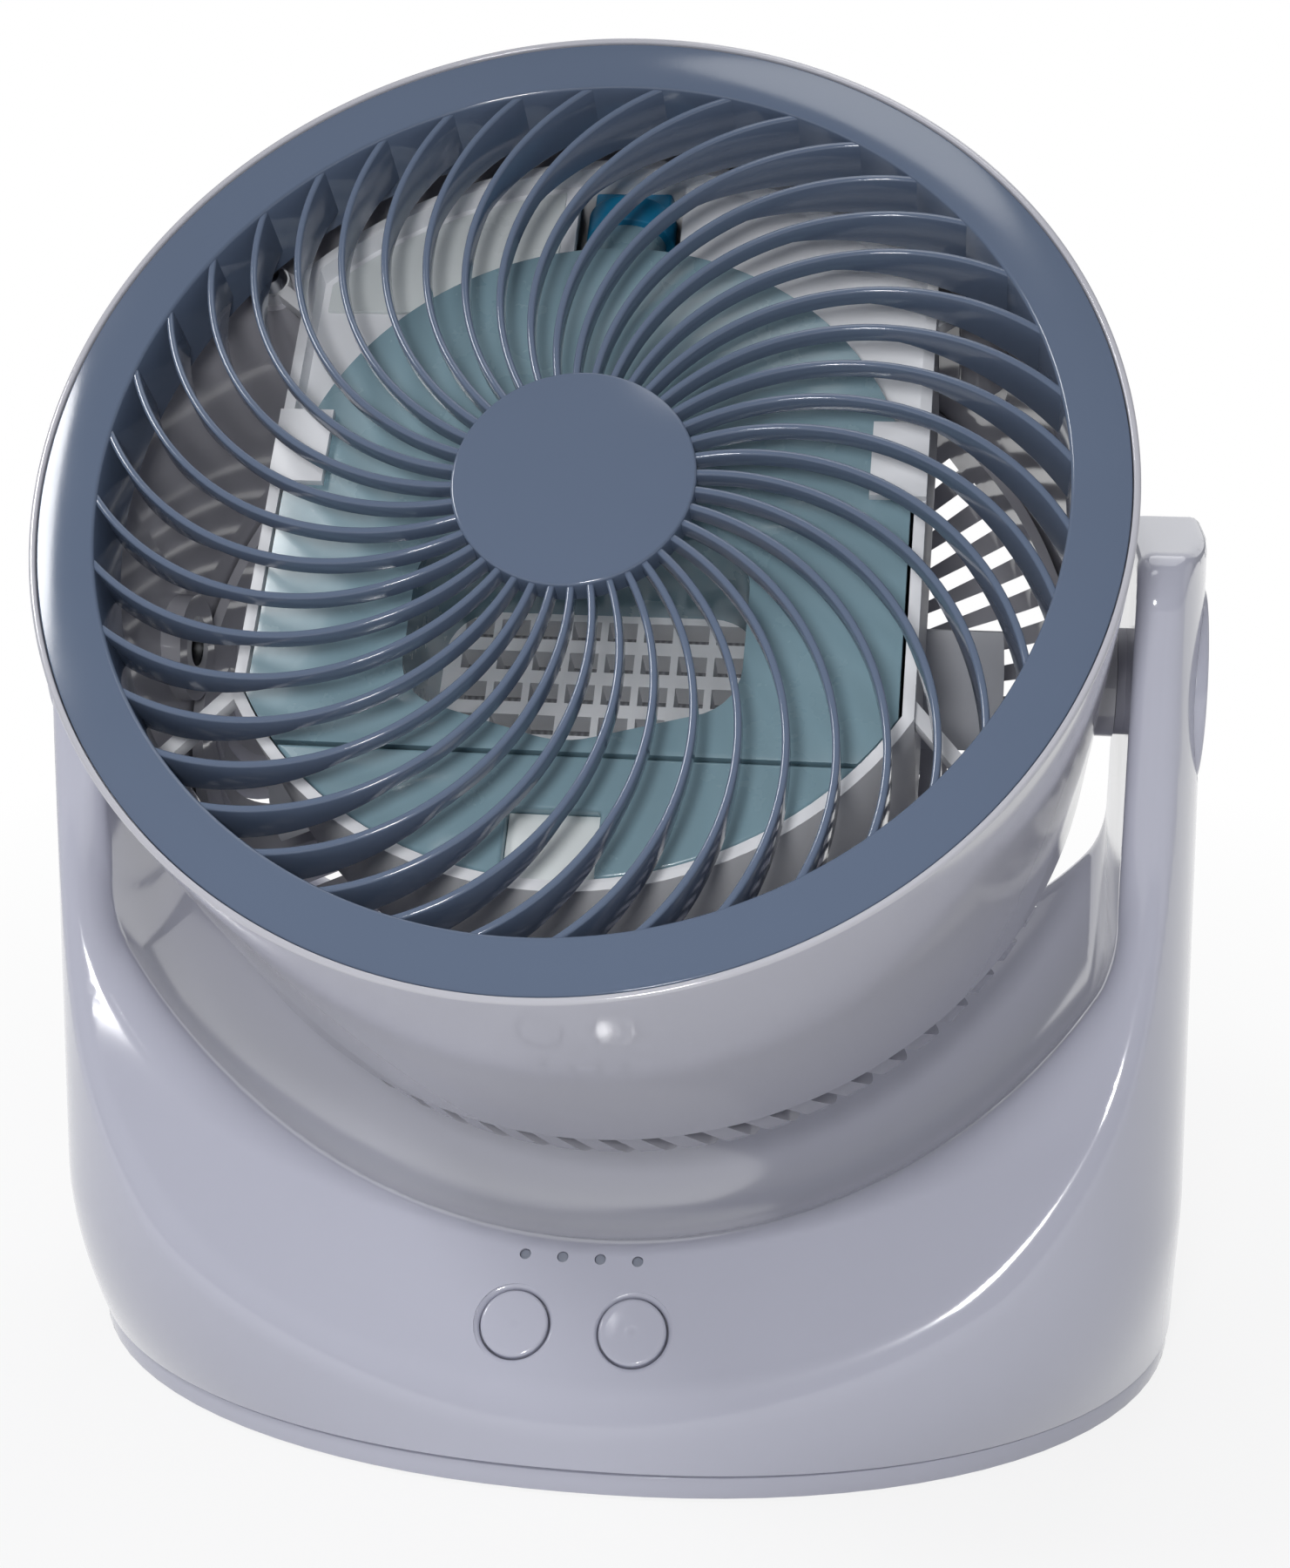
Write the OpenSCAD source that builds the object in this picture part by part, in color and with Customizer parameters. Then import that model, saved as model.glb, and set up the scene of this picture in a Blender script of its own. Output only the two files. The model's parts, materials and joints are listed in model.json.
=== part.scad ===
// Desktop evaporative air cooler: a drum-shaped head that tilts in a U-shaped stand.
// Millimetres, +Z up, front towards -Y, +X to the viewer's right.
// The origin lies on the floor, below the middle of the whole object as it stands.

/* [Tilting head] */
// Tilt of the grille's normal above level, degrees
head_tilt = 40; // [0:1:75]
// Height of the tilt axis above the floor
axis_h = 134.2; // [128:0.1:145]
// Distance of the tilt axis behind the origin
axis_y = 14.7; // [8:0.1:20]
// Outer radius of the drum's white rim
rim_r = 89.4; // [84:0.1:95]
// Inward taper of the drum from its rim to the rear cover
drum_taper = 3.4; // [1:0.1:6]
// Distance from the tilt axis forward to the face of the grille
nose_len = 65; // [60:0.5:70]
// Length of the drum's side wall
drum_len = 81; // [76:0.5:84]
// Distance from the tilt axis back to the outer face of the rear cover
tail_len = 36; // [33:0.5:40]
// Thickness of the drum's wall
drum_wall = 2.2; // [1.6:0.1:2.6]

/* [Front grille] */
// Width of the white rim seen round the grille
rim_w = 1.25; // [1:0.05:1.6]
// Height of the rim in front of the grille's face
rim_proud = 0.4; // [0.2:0.1:0.8]
// Radial gap between the grille and the rim
grille_gap = 0.15; // [0.1:0.05:0.3]
// Width of the grille's flat outer ring
ring_w = 9.4; // [8:0.1:11]
// Thickness of the flat outer ring
ring_t = 2.6; // [2:0.1:3.5]
// Depth of the skirt behind the ring's inner edge
skirt_depth = 15; // [10:0.5:18]
// Thickness of the skirt
skirt_t = 1.8; // [1.4:0.1:2.4]
// Number of spiral blades
blade_count = 40; // [30:1:44]
// Thickness of a blade
blade_t = 1.2; // [0.9:0.1:2]
// Depth of a blade over its slim inner part
blade_depth = 3.6; // [3:0.1:6]
// Depth of a blade where it meets the ring
blade_root = 11.7; // [8:0.1:14]
// Distance from the ring over which a blade deepens
blade_flare = 20; // [12:0.5:28]
// Distance of the blades' front edges behind the grille's face
blade_drop = 0.5; // [0.3:0.1:1]
// Radius of a blade's arc
blade_arc_r = 45; // [42:1:60]
// Lean of a blade where it leaves the hub, degrees
blade_lean = 5; // [0:1:10]
// Radius of the solid hub disc
hub_r = 19.9; // [17:0.1:23]
// Thickness of the hub disc
hub_t = 3; // [2:0.5:3.5]
// Depth of the hub's edge
hub_edge = 5; // [4:0.5:8]

/* [Rear cover] */
// Step in radius from the drum to the rear cover
cover_step = 1.6; // [1.2:0.1:2.2]
// Thickness of the rear cover
cover_t = 2.2; // [1.8:0.1:3]
// Radial gap between the cover's spigot and the drum
spigot_gap = 0.2; // [0.1:0.05:0.4]
// Length of the spigot inside the drum
spigot_len = 6; // [4:0.5:10]
// Size of the rounded rear corner
cover_round = 8; // [6:0.5:11]
// Number of air slots round the corner
slot_count = 68; // [48:2:72]
// Width of an air slot
slot_w = 3; // [2:0.1:3.2]
// Radius where the corner slots begin
slot_in_r = 60; // [58:1:66]
// Distance from the drum's edge to the start of the slots
slot_margin = 2.5; // [2:0.5:5]
// Slant of the slots, degrees
slot_slant = 25; // [0:1:30]
// Number of air slots in the inner ring
inner_slot_count = 34; // [24:1:36]
// Inner radius of the inner ring of slots
inner_slot_in_r = 27; // [24:1:32]
// Outer radius of the inner ring of slots
inner_slot_out_r = 55; // [48:1:56]

/* [Water box] */
// Depth of the tank's face behind the grille's face
tank_depth = 17.5; // [17:0.5:20]
// Half width of the tank
tank_hw = 53.3; // [50:0.1:54]
// Height of the tank's top above the head's axis line
tank_top = 57.6; // [56:0.1:58.5]
// Distance of the seam between tank and drawer below the axis line
seam_y = 40.6; // [40.2:0.1:42]
// Width of the seam
seam_gap = 0.3; // [0.2:0.05:0.5]
// Radius of the drawer's rounded lower edge
drawer_r = 62.3; // [60:0.1:62.6]
// Thickness of the tank from face to back
tank_t = 27.5; // [25:0.5:28]
// Half width of the air outlet through the tank
outlet_hw = 28; // [24:0.5:30]
// Distance of the outlet's lower edge below the axis line
outlet_bottom = 38.4; // [36:0.1:38.6]
// Distance of the outlet's upper edge below the axis line
outlet_top = 1; // [0:0.5:4]
// Radius of the outlet's corners
outlet_round = 9; // [5:0.5:12]
// Width of the white tray's wall round the tank
tray_wall = 1.9; // [1.5:0.1:2.2]
// Gap between the tank and the tray
tray_gap = 0.6; // [0.4:0.05:0.8]
// Radius of the tray's top edge
tray_top_r = 77; // [75:0.5:78]
// Depth of the tray behind the tank's face
tray_depth = 43.5; // [42:0.5:45]
// Thickness of the tray's floor
tray_floor = 2; // [1.5:0.1:3]
// Thickness of the shelf over the tank's top
shelf_t = 2; // [1.5:0.1:3]
// Height of a tray tab
tab_h = 14.3; // [10:0.1:18]
// Reach of a tray tab over the tank
tab_reach = 9.4; // [6:0.1:12]
// Thickness of a tray tab
tab_t = 1.5; // [1:0.1:2]
// Width of the white window in the drawer
window_w = 15; // [10:0.5:20]
// Distance of the window's top below the axis line
window_top = 50.3; // [46:0.1:54]
// Pitch of the grid's level bars
grid_pitch = 6.2; // [5:0.1:8]
// Width of the grid's level bars
grid_bar = 2.5; // [1.5:0.1:3]
// Pitch of the grid's upright bars
upright_pitch = 6.4; // [5:0.1:8]
// Width of the grid's upright bars
upright_bar = 1.3; // [1:0.1:2]
// Depth of the grid
grid_t = 6; // [4:0.5:7]
// Rim left round the grid's openings
grid_edge = 3.5; // [3:0.1:5]
// Radius of the filler neck
neck_r = 6.5; // [5:0.1:7]
// Radius of the blue filler plug
plug_r = 8; // [7.2:0.1:8.5]
// Height of the filler neck above the tank's top
neck_rise = 6.4; // [3:0.1:7]
// Height of the plug's disc
plug_disc = 5.5; // [3:0.5:6]
// Gap between the plug's grip and the tray
plug_room = 0.7; // [0.5:0.1:1.5]
// Thickness of the grip across the plug
grip_t = 5; // [3:0.1:6]
// Depth of the tray's lugs behind the tank's face
lug_drop = 6.5; // [5:0.1:10]
// Thickness of a lug
lug_t = 3; // [2:0.1:4]
// Width of the rib that carries a lug
rib_w = 2.4; // [2:0.1:4]
// Length of the posts that carry the lugs
post_len = 23; // [18:0.5:30]
// Thickness of the blank plate on the shelf
blank_t = 0.8; // [0.5:0.1:1.2]

/* [Fan] */
// Outer radius of the impeller
fan_r = 70; // [62:0.5:72]
// Number of impeller blades
fan_blades = 7; // [5:1:9]
// Pitch of the impeller blades, degrees
fan_pitch = 35; // [25:1:38]
// Chord of an impeller blade
fan_chord = 22; // [16:0.5:23]
// Thickness of an impeller blade
fan_blade_t = 1.6; // [1.2:0.1:2.2]
// Outer radius of the impeller's hub
fan_hub_r = 21; // [19:0.5:23]
// Length of the impeller's hub
fan_hub_len = 14; // [12:0.5:14.5]
// Radius of the motor
motor_r = 15; // [12:0.5:16]
// Length of the motor
motor_len = 21.8; // [20:0.1:23]
// Radius of the motor shaft
shaft_r = 2; // [1.5:0.1:3]
// Running clearance of the shaft in the motor
shaft_fit = 0.05; // [0.02:0.01:0.1]

/* [Stand] */
// Clearance between the rim and an arm's inner face
arm_gap = 1.6; // [1.2:0.1:3]
// Greatest width of an arm, from its inner face to the stand's side
arm_w = 17; // [15:0.1:20]
// Height of the arms' tops above the tilt axis
arm_rise = 26.8; // [24:0.1:42]
// Distance from the tilt axis forward to the arms' front faces
arm_front = 27.7; // [24:0.1:32]
// Distance from the tilt axis back to the arms' rear faces at the top
arm_back = 27.7; // [22:0.1:32]
// Radius of the arms' upper corners seen from the side
arm_round = 9; // [4:0.5:14]
// Inward lean of the stand's sides from floor to arm tops
side_lean = 3.6; // [1:0.1:4.5]
// Distance from the tilt axis back to the stand's widest line
wide_back = 16.3; // [10:0.1:20]
// Distance from the widest line forward to the stand's front
front_len = 80.4; // [76:0.1:84]
// Distance from the widest line back to the stand's rear
rear_len = 43.7; // [38:0.1:50]
// Squareness of the outline at the floor, where 2 is an ellipse
foot_square = 2.15; // [2:0.05:2.6]
// Squareness of the outline from the belly up
side_square = 3.05; // [2.7:0.05:3.6]
// Squareness of the outline behind its widest line
rear_square = 4; // [3:0.1:5]
// Height of the belly, where the outline is squarest
belly_h = 36; // [30:1:44]
// Radial gap between the swinging rear corner and the cradle
cradle_gap = 13; // [10:0.5:16]
// Distance from the tilt axis forward to the cradle's front lip
lip_front = 42.1; // [38:0.1:46]
// Slope of the control panel below level, degrees
panel_slope = 45; // [40:1:50]
// Upward tilt of the funnel that the panel belongs to, degrees
funnel_tilt = 20; // [14:1:24]
// Radius of the funnel at the cradle's lip
funnel_r = 95; // [80:1:110]
// Thickness of the stand's shell
shell_t = 2.5; // [2:0.1:3]

/* [Base plate] */
// Height of the feet below the plate
foot_h = 0.6; // [0.5:0.1:2]
// Thickness of the base plate
plate_t = 4; // [3:0.1:5]
// Set-back of the plate's edge under the stand
plate_inset = 0.5; // [0.3:0.1:1.5]
// Height of the locating lip on the plate
plate_lip_h = 4; // [2:0.5:6]
// Radius of a rubber foot
foot_r = 7; // [5:0.5:9]
// Depth of a foot's pocket in the plate
foot_pocket = 1.2; // [0.8:0.1:1.6]

/* [Controls] */
// Distance along the slope from the cradle lip to the row of lamps
lamp_row = 3.4; // [3:0.1:6]
// Pitch of the lamps
lamp_pitch = 6.75; // [5:0.05:8]
// Radius of a lamp hole
lamp_r = 1; // [0.8:0.05:1.5]
// Radial gap round a light pipe
lamp_gap = 0.05; // [0.02:0.01:0.1]
// Distance along the slope from the lamps to the buttons
button_row = 12.7; // [11:0.1:14]
// Distance between the buttons' centres
button_pitch = 21; // [18:0.1:26]
// Radius of a button
button_r = 6; // [5:0.1:7]
// Radial gap round a button
button_gap = 0.3; // [0.25:0.05:0.5]
// Travel of a button
button_travel = 1; // [0.6:0.1:1.2]
// Thickness of the circuit board
board_t = 1.6; // [1:0.1:2]
// Depth of the board's face below the panel
board_depth = 10.4; // [10:0.1:12]

/* [Pivots] */
// Radius of the hollow pivot pins
pin_r = 6; // [5:0.1:7]
// Wall of the hollow pivot pins
pin_wall = 2.5; // [1.5:0.1:3]
// Running clearance of a pin in its arm
pin_fit = 0.06; // [0.03:0.01:0.1]
// Radius of the drum's side bosses
side_boss_r = 10; // [9:0.1:14]
// Thickness of a friction washer
washer_t = 1.5; // [1.2:0.1:2.5]
// Radius of a pivot cap
cap_r = 17.5; // [13:0.5:18.5]
// Set-back of a cap's face from the stand's widest line
cap_inset = 3.6; // [3:0.1:5]
// Thickness of a pivot cap
cap_t = 3.2; // [2.8:0.1:4]

/* [Hidden] */

white = "#d9dae2";
white_in = "#cfd0d4";
slate = "#5c6a82";
teal = "#84a9ab";
$fn = 96;
eps = 0.02;
beyond = 4 * (rim_r + arm_gap + arm_w);

// Head: z runs forward along the fan's axis from the tilt axis, y runs up the grille.
face_z = nose_len;
drum_end_z = face_z - drum_len;
drum_rear_r = rim_r - drum_taper;
grille_r = rim_r - rim_w - grille_gap;
ring_in_r = grille_r - ring_w;
cover_r = drum_rear_r - cover_step;
spigot_r = drum_rear_r - drum_wall - spigot_gap;
cover_in_z = -tail_len + cover_t;
tank_z = face_z - tank_depth;
tank_back_z = tank_z - tank_t;
tank_round_y = tank_top - tank_hw;
tray_z = tank_z - tray_depth;
tray_hw = tank_hw + tray_gap + tray_wall;
tray_r = drawer_r + tray_gap + 1.6;
tab_top_y = 21.9;
grid_hw = outlet_hw + grid_edge;
grid_top_y = -outlet_top + grid_edge;
grid_bottom_y = -outlet_bottom - grid_edge;
grid_z = tank_back_z - grid_t;
shelf_z = tank_z - 4.5;
neck_z = tank_z - plug_r - 0.2;
neck_top_y = tank_top + neck_rise;
grip_r = plug_r - 0.8;
plug_grip = sqrt(pow(tray_top_r - tray_wall - plug_room, 2) - grip_r * grip_r) - neck_top_y - plug_disc;
tray_post_r = 4.5;
lug_z = tank_z - lug_drop;
post_low_z = lug_z - post_len;
post_at_r = drum_at(post_low_z) - 0.4 - tray_post_r;
tray_posts = [for (a = [39.3, 140.7, -33.1, -146.9]) post_at_r * [cos(a), sin(a)]];
lug_root_y = [45, -28];
lug_r = drum_at(lug_z) - drum_wall - 0.3 - post_at_r;
screw_r = 1.5;
hub_front_z = 1;
hub_back_z = hub_front_z - fan_hub_len;
hub_wall = 2.5;
motor_front_z = cover_in_z + motor_len;

// Stand
arm_in = rim_r + arm_gap;
side_hw = arm_in + arm_w;
arm_top = axis_h + arm_rise;
bowl_r = norm([cover_r, tail_len]) + cradle_gap;
lip_z = axis_h - sqrt(bowl_r * bowl_r - lip_front * lip_front);
plate_top = foot_h + plate_t;
rear_y = wide_back + rear_len;
pad_r = cap_r + 3;
cap_face_x = side_hw - cap_inset;
cap_seat_x = cap_face_x - cap_t;
cap_hollow_r = cap_r - 2.5;
cap_hollow_t = 1.8;
boss_face_x = arm_in - washer_t - 0.1;
clip_t = 0.8;
clip_x = cap_seat_x + 0.1;
column_r = 4;
column_xy = [[62, -34], [-62, -34], [84, 28], [-84, 28]];
column_hole = 12;
board_screw_len = 6.5;
plate_low_y = 46;
board_hw = 33;
board_up = 3.5;
board_down = 19;
board_post_x = 27;
board_post_y = -8;
inlet_z = 16;
outline_steps = 96;
funnel_far = 150;
inlet_r = 4;

// Outline of the stand: a rounded curve, blunter at the back.
function outline(hw, fl, rl, sq) = [for (i = [0:outline_steps - 1])
    let (a = i * 360 / outline_steps, c = cos(a), s = sin(a), n = s < 0 ? sq : rear_square,
        r = pow(pow(abs(c), n) + pow(abs(s), n), -1 / n))
    [hw * r * c, wide_back + (s < 0 ? fl : rl) * r * s]];

module slab(z, t, lean, sq) {
    translate([0, 0, z])
        linear_extrude(eps)
            polygon(outline(side_hw - lean - t, front_len - lean * 0.7 - t, rear_len - t, sq));
}

// The stand's outer block, or its inside when t is the shell's thickness.
module stand_block(t, z_low, z_high) {
    soft = min(4, arm_w / 4);
    hull() {
        slab(z_low, t, 0, foot_square);
        slab(belly_h, t, 0.3, side_square);
        slab(z_high - soft, t, side_lean, side_square);
        slab(z_high - soft * 0.3, t, side_lean + soft * 0.3, side_square);
        slab(z_high - eps, t, side_lean + soft, side_square);
    }
}

// The funnel in front of the cradle and the arms, with the sloping control panel at its foot.
module front_cut(t) {
    angle = panel_slope + funnel_tilt;
    back = 0.7 * funnel_r / tan(angle);
    grow = t / cos(angle);
    intersection() {
        translate([0, -lip_front, lip_z])
            rotate([90 - funnel_tilt, 0, 0])
                translate([0, funnel_r, -back])
                    cylinder(r1 = funnel_r - back * tan(angle) + grow,
                        r2 = funnel_r + funnel_far * tan(angle) + grow, h = back + funnel_far, $fn = 240);
        translate([-beyond / 2, -beyond, -beyond / 8])
            cube([beyond, beyond - arm_front + t, beyond]);
    }
}

// The cradle that the head swings in.
module cradle_cut(t) {
    translate([0, 0, axis_h]) {
        intersection() {
            sphere(r = bowl_r + t, $fn = 128);
            cube([2 * (arm_in + t), beyond, beyond], center = true);
        }
        translate([-arm_in - t, -beyond / 2, 0])
            cube([2 * (arm_in + t), beyond, beyond]);
    }
}

// The slope from the arms' rear faces down to the back of the stand.
module back_cut(t) {
    low = axis_h - sqrt(bowl_r * bowl_r - rear_y * rear_y) + 12;
    rise = arm_top - low;
    steps = 14;
    curve = [for (i = [0:steps]) let (f = i / steps)
        [arm_back - t + (rear_y + 2 - arm_back) * pow(1 - f, 2.2), low + rise * f]];
    translate([-beyond / 2, 0, 0])
        rotate([90, 0, 90])
            linear_extrude(beyond)
                polygon(concat([[rear_y + 60, low]], curve,
                    [[arm_back - t, arm_top + 60], [rear_y + 60, arm_top + 60]]));
}

// Rounding of the arms' upper corners seen from the side.
module corner_cut() {
    for (s = [-1, 1]) {
        edge = s < 0 ? -arm_front : arm_back;
        difference() {
            translate([-beyond / 2, s < 0 ? edge - 5 : edge - arm_round, arm_top - arm_round])
                cube([beyond, arm_round + 5, arm_round + 5]);
            translate([-beyond / 2 - 1, edge - s * arm_round, arm_top - arm_round])
                rotate([0, 90, 0])
                    cylinder(r = arm_round, h = beyond + 2);
        }
    }
}

// Places its children on the control panel, z outwards, y up the slope, at the row of lamps.
module on_panel() {
    translate([0, -lip_front, lip_z])
        rotate([panel_slope, 0, 0])
            translate([0, -lamp_row, 0])
                children();
}

// Places the stand's pieces, drawn with the tilt axis above y = 0.
module on_stand() {
    translate([0, axis_y, 0])
        children();
}

module along_x(s, x0, x1, r) {
    translate([s * x0, 0, axis_h])
        rotate([0, s * 90, 0])
            cylinder(r = r, h = x1 - x0);
}

module base_body() {
    color(white)
        on_stand()
            difference() {
                stand_block(0, plate_top, arm_top);
                front_cut(0);
                cradle_cut(0);
                back_cut(0);
                corner_cut();
                difference() {
                    stand_block(shell_t, plate_top - 1, arm_top - shell_t);
                    front_cut(shell_t);
                    cradle_cut(shell_t);
                    back_cut(shell_t);
                    for (p = column_xy)
                        translate([p[0], p[1], plate_top])
                            cylinder(r = column_r, h = arm_top);
                    for (s = [-1, 1]) {
                        along_x(s, arm_in, side_hw, side_boss_r + 1);
                        along_x(s, cap_seat_x - 3, side_hw + 3, pad_r);
                    }
                    on_panel()
                        for (s = [-1, 1])
                            translate([s * board_post_x, board_post_y, -board_depth])
                                cylinder(r = 3, h = board_depth);
                }
                for (p = column_xy)
                    translate([p[0], p[1], plate_top - 1])
                        cylinder(r = screw_r, h = column_hole + 1);
                for (s = [-1, 1]) {
                    along_x(s, arm_in - 1, cap_seat_x + 1, pin_r + pin_fit);
                    along_x(s, cap_seat_x, side_hw + 5, cap_r + 0.2);
                }
                on_panel() {
                    for (i = [-1.5:1:1.5])
                        translate([i * lamp_pitch, 0, -shell_t - 2])
                            cylinder(r = lamp_r, h = shell_t + 6);
                    for (s = [-1, 1]) {
                        translate([s * button_pitch / 2, -button_row, -shell_t - 2])
                            cylinder(r = button_r + button_gap, h = shell_t + 6);
                        translate([s * board_post_x, board_post_y, -board_depth - 1])
                            cylinder(r = 1, h = 7);
                    }
                }
                translate([0, rear_y - shell_t - 2, inlet_z])
                    rotate([-90, 0, 0])
                        cylinder(r = inlet_r + 0.15, h = shell_t + 4);
            }
}

foot_xy = [[72, -24], [-72, -24], [78, 38], [-78, 38]];

module base_plate() {
    color(white)
        on_stand()
            difference() {
                union() {
                    translate([0, 0, foot_h])
                        linear_extrude(plate_t)
                            polygon(outline(side_hw - plate_inset, front_len - plate_inset,
                                rear_len - plate_inset, foot_square));
                    translate([0, 0, plate_top - 1])
                        linear_extrude(plate_lip_h + 1)
                            difference() {
                                polygon(outline(side_hw - shell_t - 0.4, front_len - shell_t - 0.4,
                                    rear_len - shell_t - 0.4, foot_square));
                                polygon(outline(side_hw - shell_t - 2, front_len - shell_t - 2,
                                    rear_len - shell_t - 2, foot_square));
                            }
                }
                for (p = foot_xy)
                    translate([p[0], p[1], foot_h - 1])
                        cylinder(r = foot_r, h = foot_pocket + 1);
                for (p = column_xy)
                    translate([p[0], p[1], foot_h - 1]) {
                        cylinder(r = screw_r, h = plate_t + 3);
                        cylinder(r = 3.2, h = 2.8);
                    }
                for (x = [-30:10:30])
                    translate([x - 2, -20, foot_h - 1])
                        cube([4, 30, plate_t + 3]);
            }
}

module rubber_feet() {
    color("#3a3b40")
        on_stand()
            for (p = foot_xy)
                translate([p[0], p[1], 0])
                    cylinder(r = foot_r, h = foot_h + foot_pocket);
}

module base_screws() {
    color("silver")
        on_stand()
            for (p = column_xy)
                translate([p[0], p[1], foot_h + 0.2]) {
                    cylinder(r = 2.9, h = 1.6);
                    cylinder(r = screw_r, h = plate_t + column_hole - 2);
                }
}

module power_inlet() {
    color("#2b2c30")
        on_stand()
            difference() {
                union() {
                    translate([0, rear_y - shell_t - 10, inlet_z])
                        rotate([-90, 0, 0])
                            cylinder(r = inlet_r + 2, h = 10);
                    translate([0, rear_y - shell_t - 1, inlet_z])
                        rotate([-90, 0, 0])
                            cylinder(r = inlet_r, h = shell_t + 0.8);
                }
                translate([0, rear_y - 9.5, inlet_z])
                    rotate([-90, 0, 0])
                        difference() {
                            cylinder(r = inlet_r - 1.2, h = 12);
                            cylinder(r = 1, h = 12);
                        }
            }
}

module control_board() {
    color("#2f6b45")
        on_stand()
            on_panel()
                difference() {
                    translate([-board_hw, -board_down, -board_depth - board_t])
                        cube([2 * board_hw, board_down + board_up, board_t]);
                    for (s = [-1, 1])
                        translate([s * board_post_x, board_post_y, -board_depth - board_t - 1])
                            cylinder(r = 1.2, h = board_t + 2);
                }
}

module board_screws() {
    color("silver")
        on_stand()
            on_panel()
                for (s = [-1, 1])
                    translate([s * board_post_x, board_post_y, -board_depth - board_t - 1.2]) {
                        cylinder(r = 2.2, h = 1.2);
                        cylinder(r = 1, h = board_screw_len);
                    }
}

switch_t = 3.5;

module tact_switches() {
    color("#26272b")
        on_stand()
            on_panel()
                for (s = [-1, 1])
                    translate([s * button_pitch / 2, -button_row, -board_depth])
                        difference() {
                            translate([-3, -3, 0])
                                cube([6, 6, switch_t]);
                            translate([0, 0, 1])
                                cylinder(r = 1.8, h = switch_t);
                        }
}

module light_pipes() {
    color("#9aa0a8")
        on_stand()
            on_panel()
                for (i = [-1.5:1:1.5])
                    translate([i * lamp_pitch, 0, -board_depth]) {
                        cylinder(r = lamp_r - lamp_gap, h = board_depth - 0.3);
                        cylinder(r = lamp_r + 0.6, h = board_depth - shell_t - 1);
                    }
}

module button(s) {
    on_panel()
        translate([s * button_pitch / 2, -button_row, 0])
            difference() {
                union() {
                    translate([0, 0, -shell_t - 1.6])
                        cylinder(r = button_r, h = shell_t + 2.1);
                    translate([0, 0, -shell_t - 1.6])
                        cylinder(r = button_r + 1.3, h = 1.2);
                    translate([0, 0, -board_depth + switch_t - 0.6])
                        cylinder(r = 1.5, h = board_depth - switch_t - 1);
                }
                translate([0, 0, 60.15])
                    sphere(r = 60, $fn = 200);
            }
}

module button_left() {
    color(white)
        on_stand()
            button(-1);
}

module button_right() {
    color(white)
        on_stand()
            button(1);
}

module pivot_washers() {
    color("#6d6f75")
        on_stand()
            for (s = [-1, 1])
                difference() {
                    along_x(s, arm_in - washer_t, arm_in, side_boss_r - 0.5);
                    along_x(s, arm_in - washer_t - 1, arm_in + 1, pin_r + 0.3);
                }
}

module pivot_caps() {
    color(white)
        on_stand()
            for (s = [-1, 1])
                difference() {
                    along_x(s, cap_seat_x, cap_face_x, cap_r);
                    along_x(s, cap_seat_x - 1, cap_seat_x + cap_hollow_t, cap_hollow_r);
                }
}

module pivot_pins() {
    color("silver")
        on_stand()
            for (s = [-1, 1])
                difference() {
                    along_x(s, arm_in - 10, cap_seat_x + 1.2, pin_r);
                    along_x(s, arm_in - 11, cap_seat_x + 2, pin_r - pin_wall);
                }
}

module pivot_clips() {
    color("#8b8e94")
        on_stand()
            for (s = [-1, 1])
                difference() {
                    along_x(s, clip_x, clip_x + clip_t, pin_r + 3);
                    along_x(s, clip_x - 1, clip_x + clip_t + 1, pin_r);
                }
}

// Places the head's pieces: z forward along the fan's axis, y up the grille.
module on_head() {
    translate([0, axis_y, axis_h])
        rotate([90 - head_tilt, 0, 0])
            children();
}

function drum_at(z) = rim_r - (rim_r - drum_rear_r) * (face_z - z) / drum_len;

module drum() {
    ledge_z = face_z - ring_t;
    color(white)
        on_head()
            difference() {
                union() {
                    rotate([0, 0, 90])
                        rotate_extrude()
                            polygon([
                                [rim_r - rim_w, face_z + rim_proud], [rim_r - 0.4, face_z + rim_proud],
                                [rim_r, face_z], [drum_rear_r, drum_end_z],
                                [drum_rear_r - drum_wall, drum_end_z],
                                [drum_at(ledge_z) - drum_wall, ledge_z], [rim_r - rim_w, ledge_z]]);
                    for (s = [-1, 1])
                        translate([s * (arm_in - 10), 0, 0])
                            rotate([0, s * 90, 0])
                                cylinder(r = side_boss_r, h = boss_face_x - arm_in + 10);
                    for (p = tray_posts)
                        translate([p[0], p[1], post_low_z])
                            cylinder(r = tray_post_r, h = post_len);
                }
                for (s = [-1, 1])
                    translate([s * (arm_in - 11), 0, 0])
                        rotate([0, s * 90, 0])
                            cylinder(r = pin_r, h = 20);
                for (p = tray_posts)
                    translate([p[0], p[1], lug_z - 12])
                        cylinder(r = screw_r, h = 13);
            }
}

// One blade: an arc that leaves the hub nearly straight and sweeps towards the ring.
module blade() {
    foot = hub_r - 1.6;
    reach = ring_in_r + skirt_t;
    far = norm([foot, blade_arc_r]);
    sweep = atan2(blade_arc_r, foot)
        + asin((reach * reach - foot * foot - 2 * blade_arc_r * blade_arc_r) / (2 * blade_arc_r * far));
    rotate([0, 0, blade_lean])
        translate([foot, -blade_arc_r, -blade_root - blade_drop])
            rotate([0, 0, 90 - sweep])
                rotate_extrude(angle = sweep, $fn = 180)
                    translate([blade_arc_r - blade_t / 2, 0])
                        square([blade_t, blade_root]);
}

// What the blades fill: shallow from the hub outwards, deeper towards the ring.
module blade_room() {
    low = -blade_drop - blade_depth;
    rotate_extrude()
        polygon([
            [hub_r - 1, 1], [hub_r - 1, low], [ring_in_r - blade_flare, low],
            [ring_in_r + skirt_t / 2, -blade_drop - blade_root + 0.1], [ring_in_r + skirt_t / 2, 1]]);
}

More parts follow.
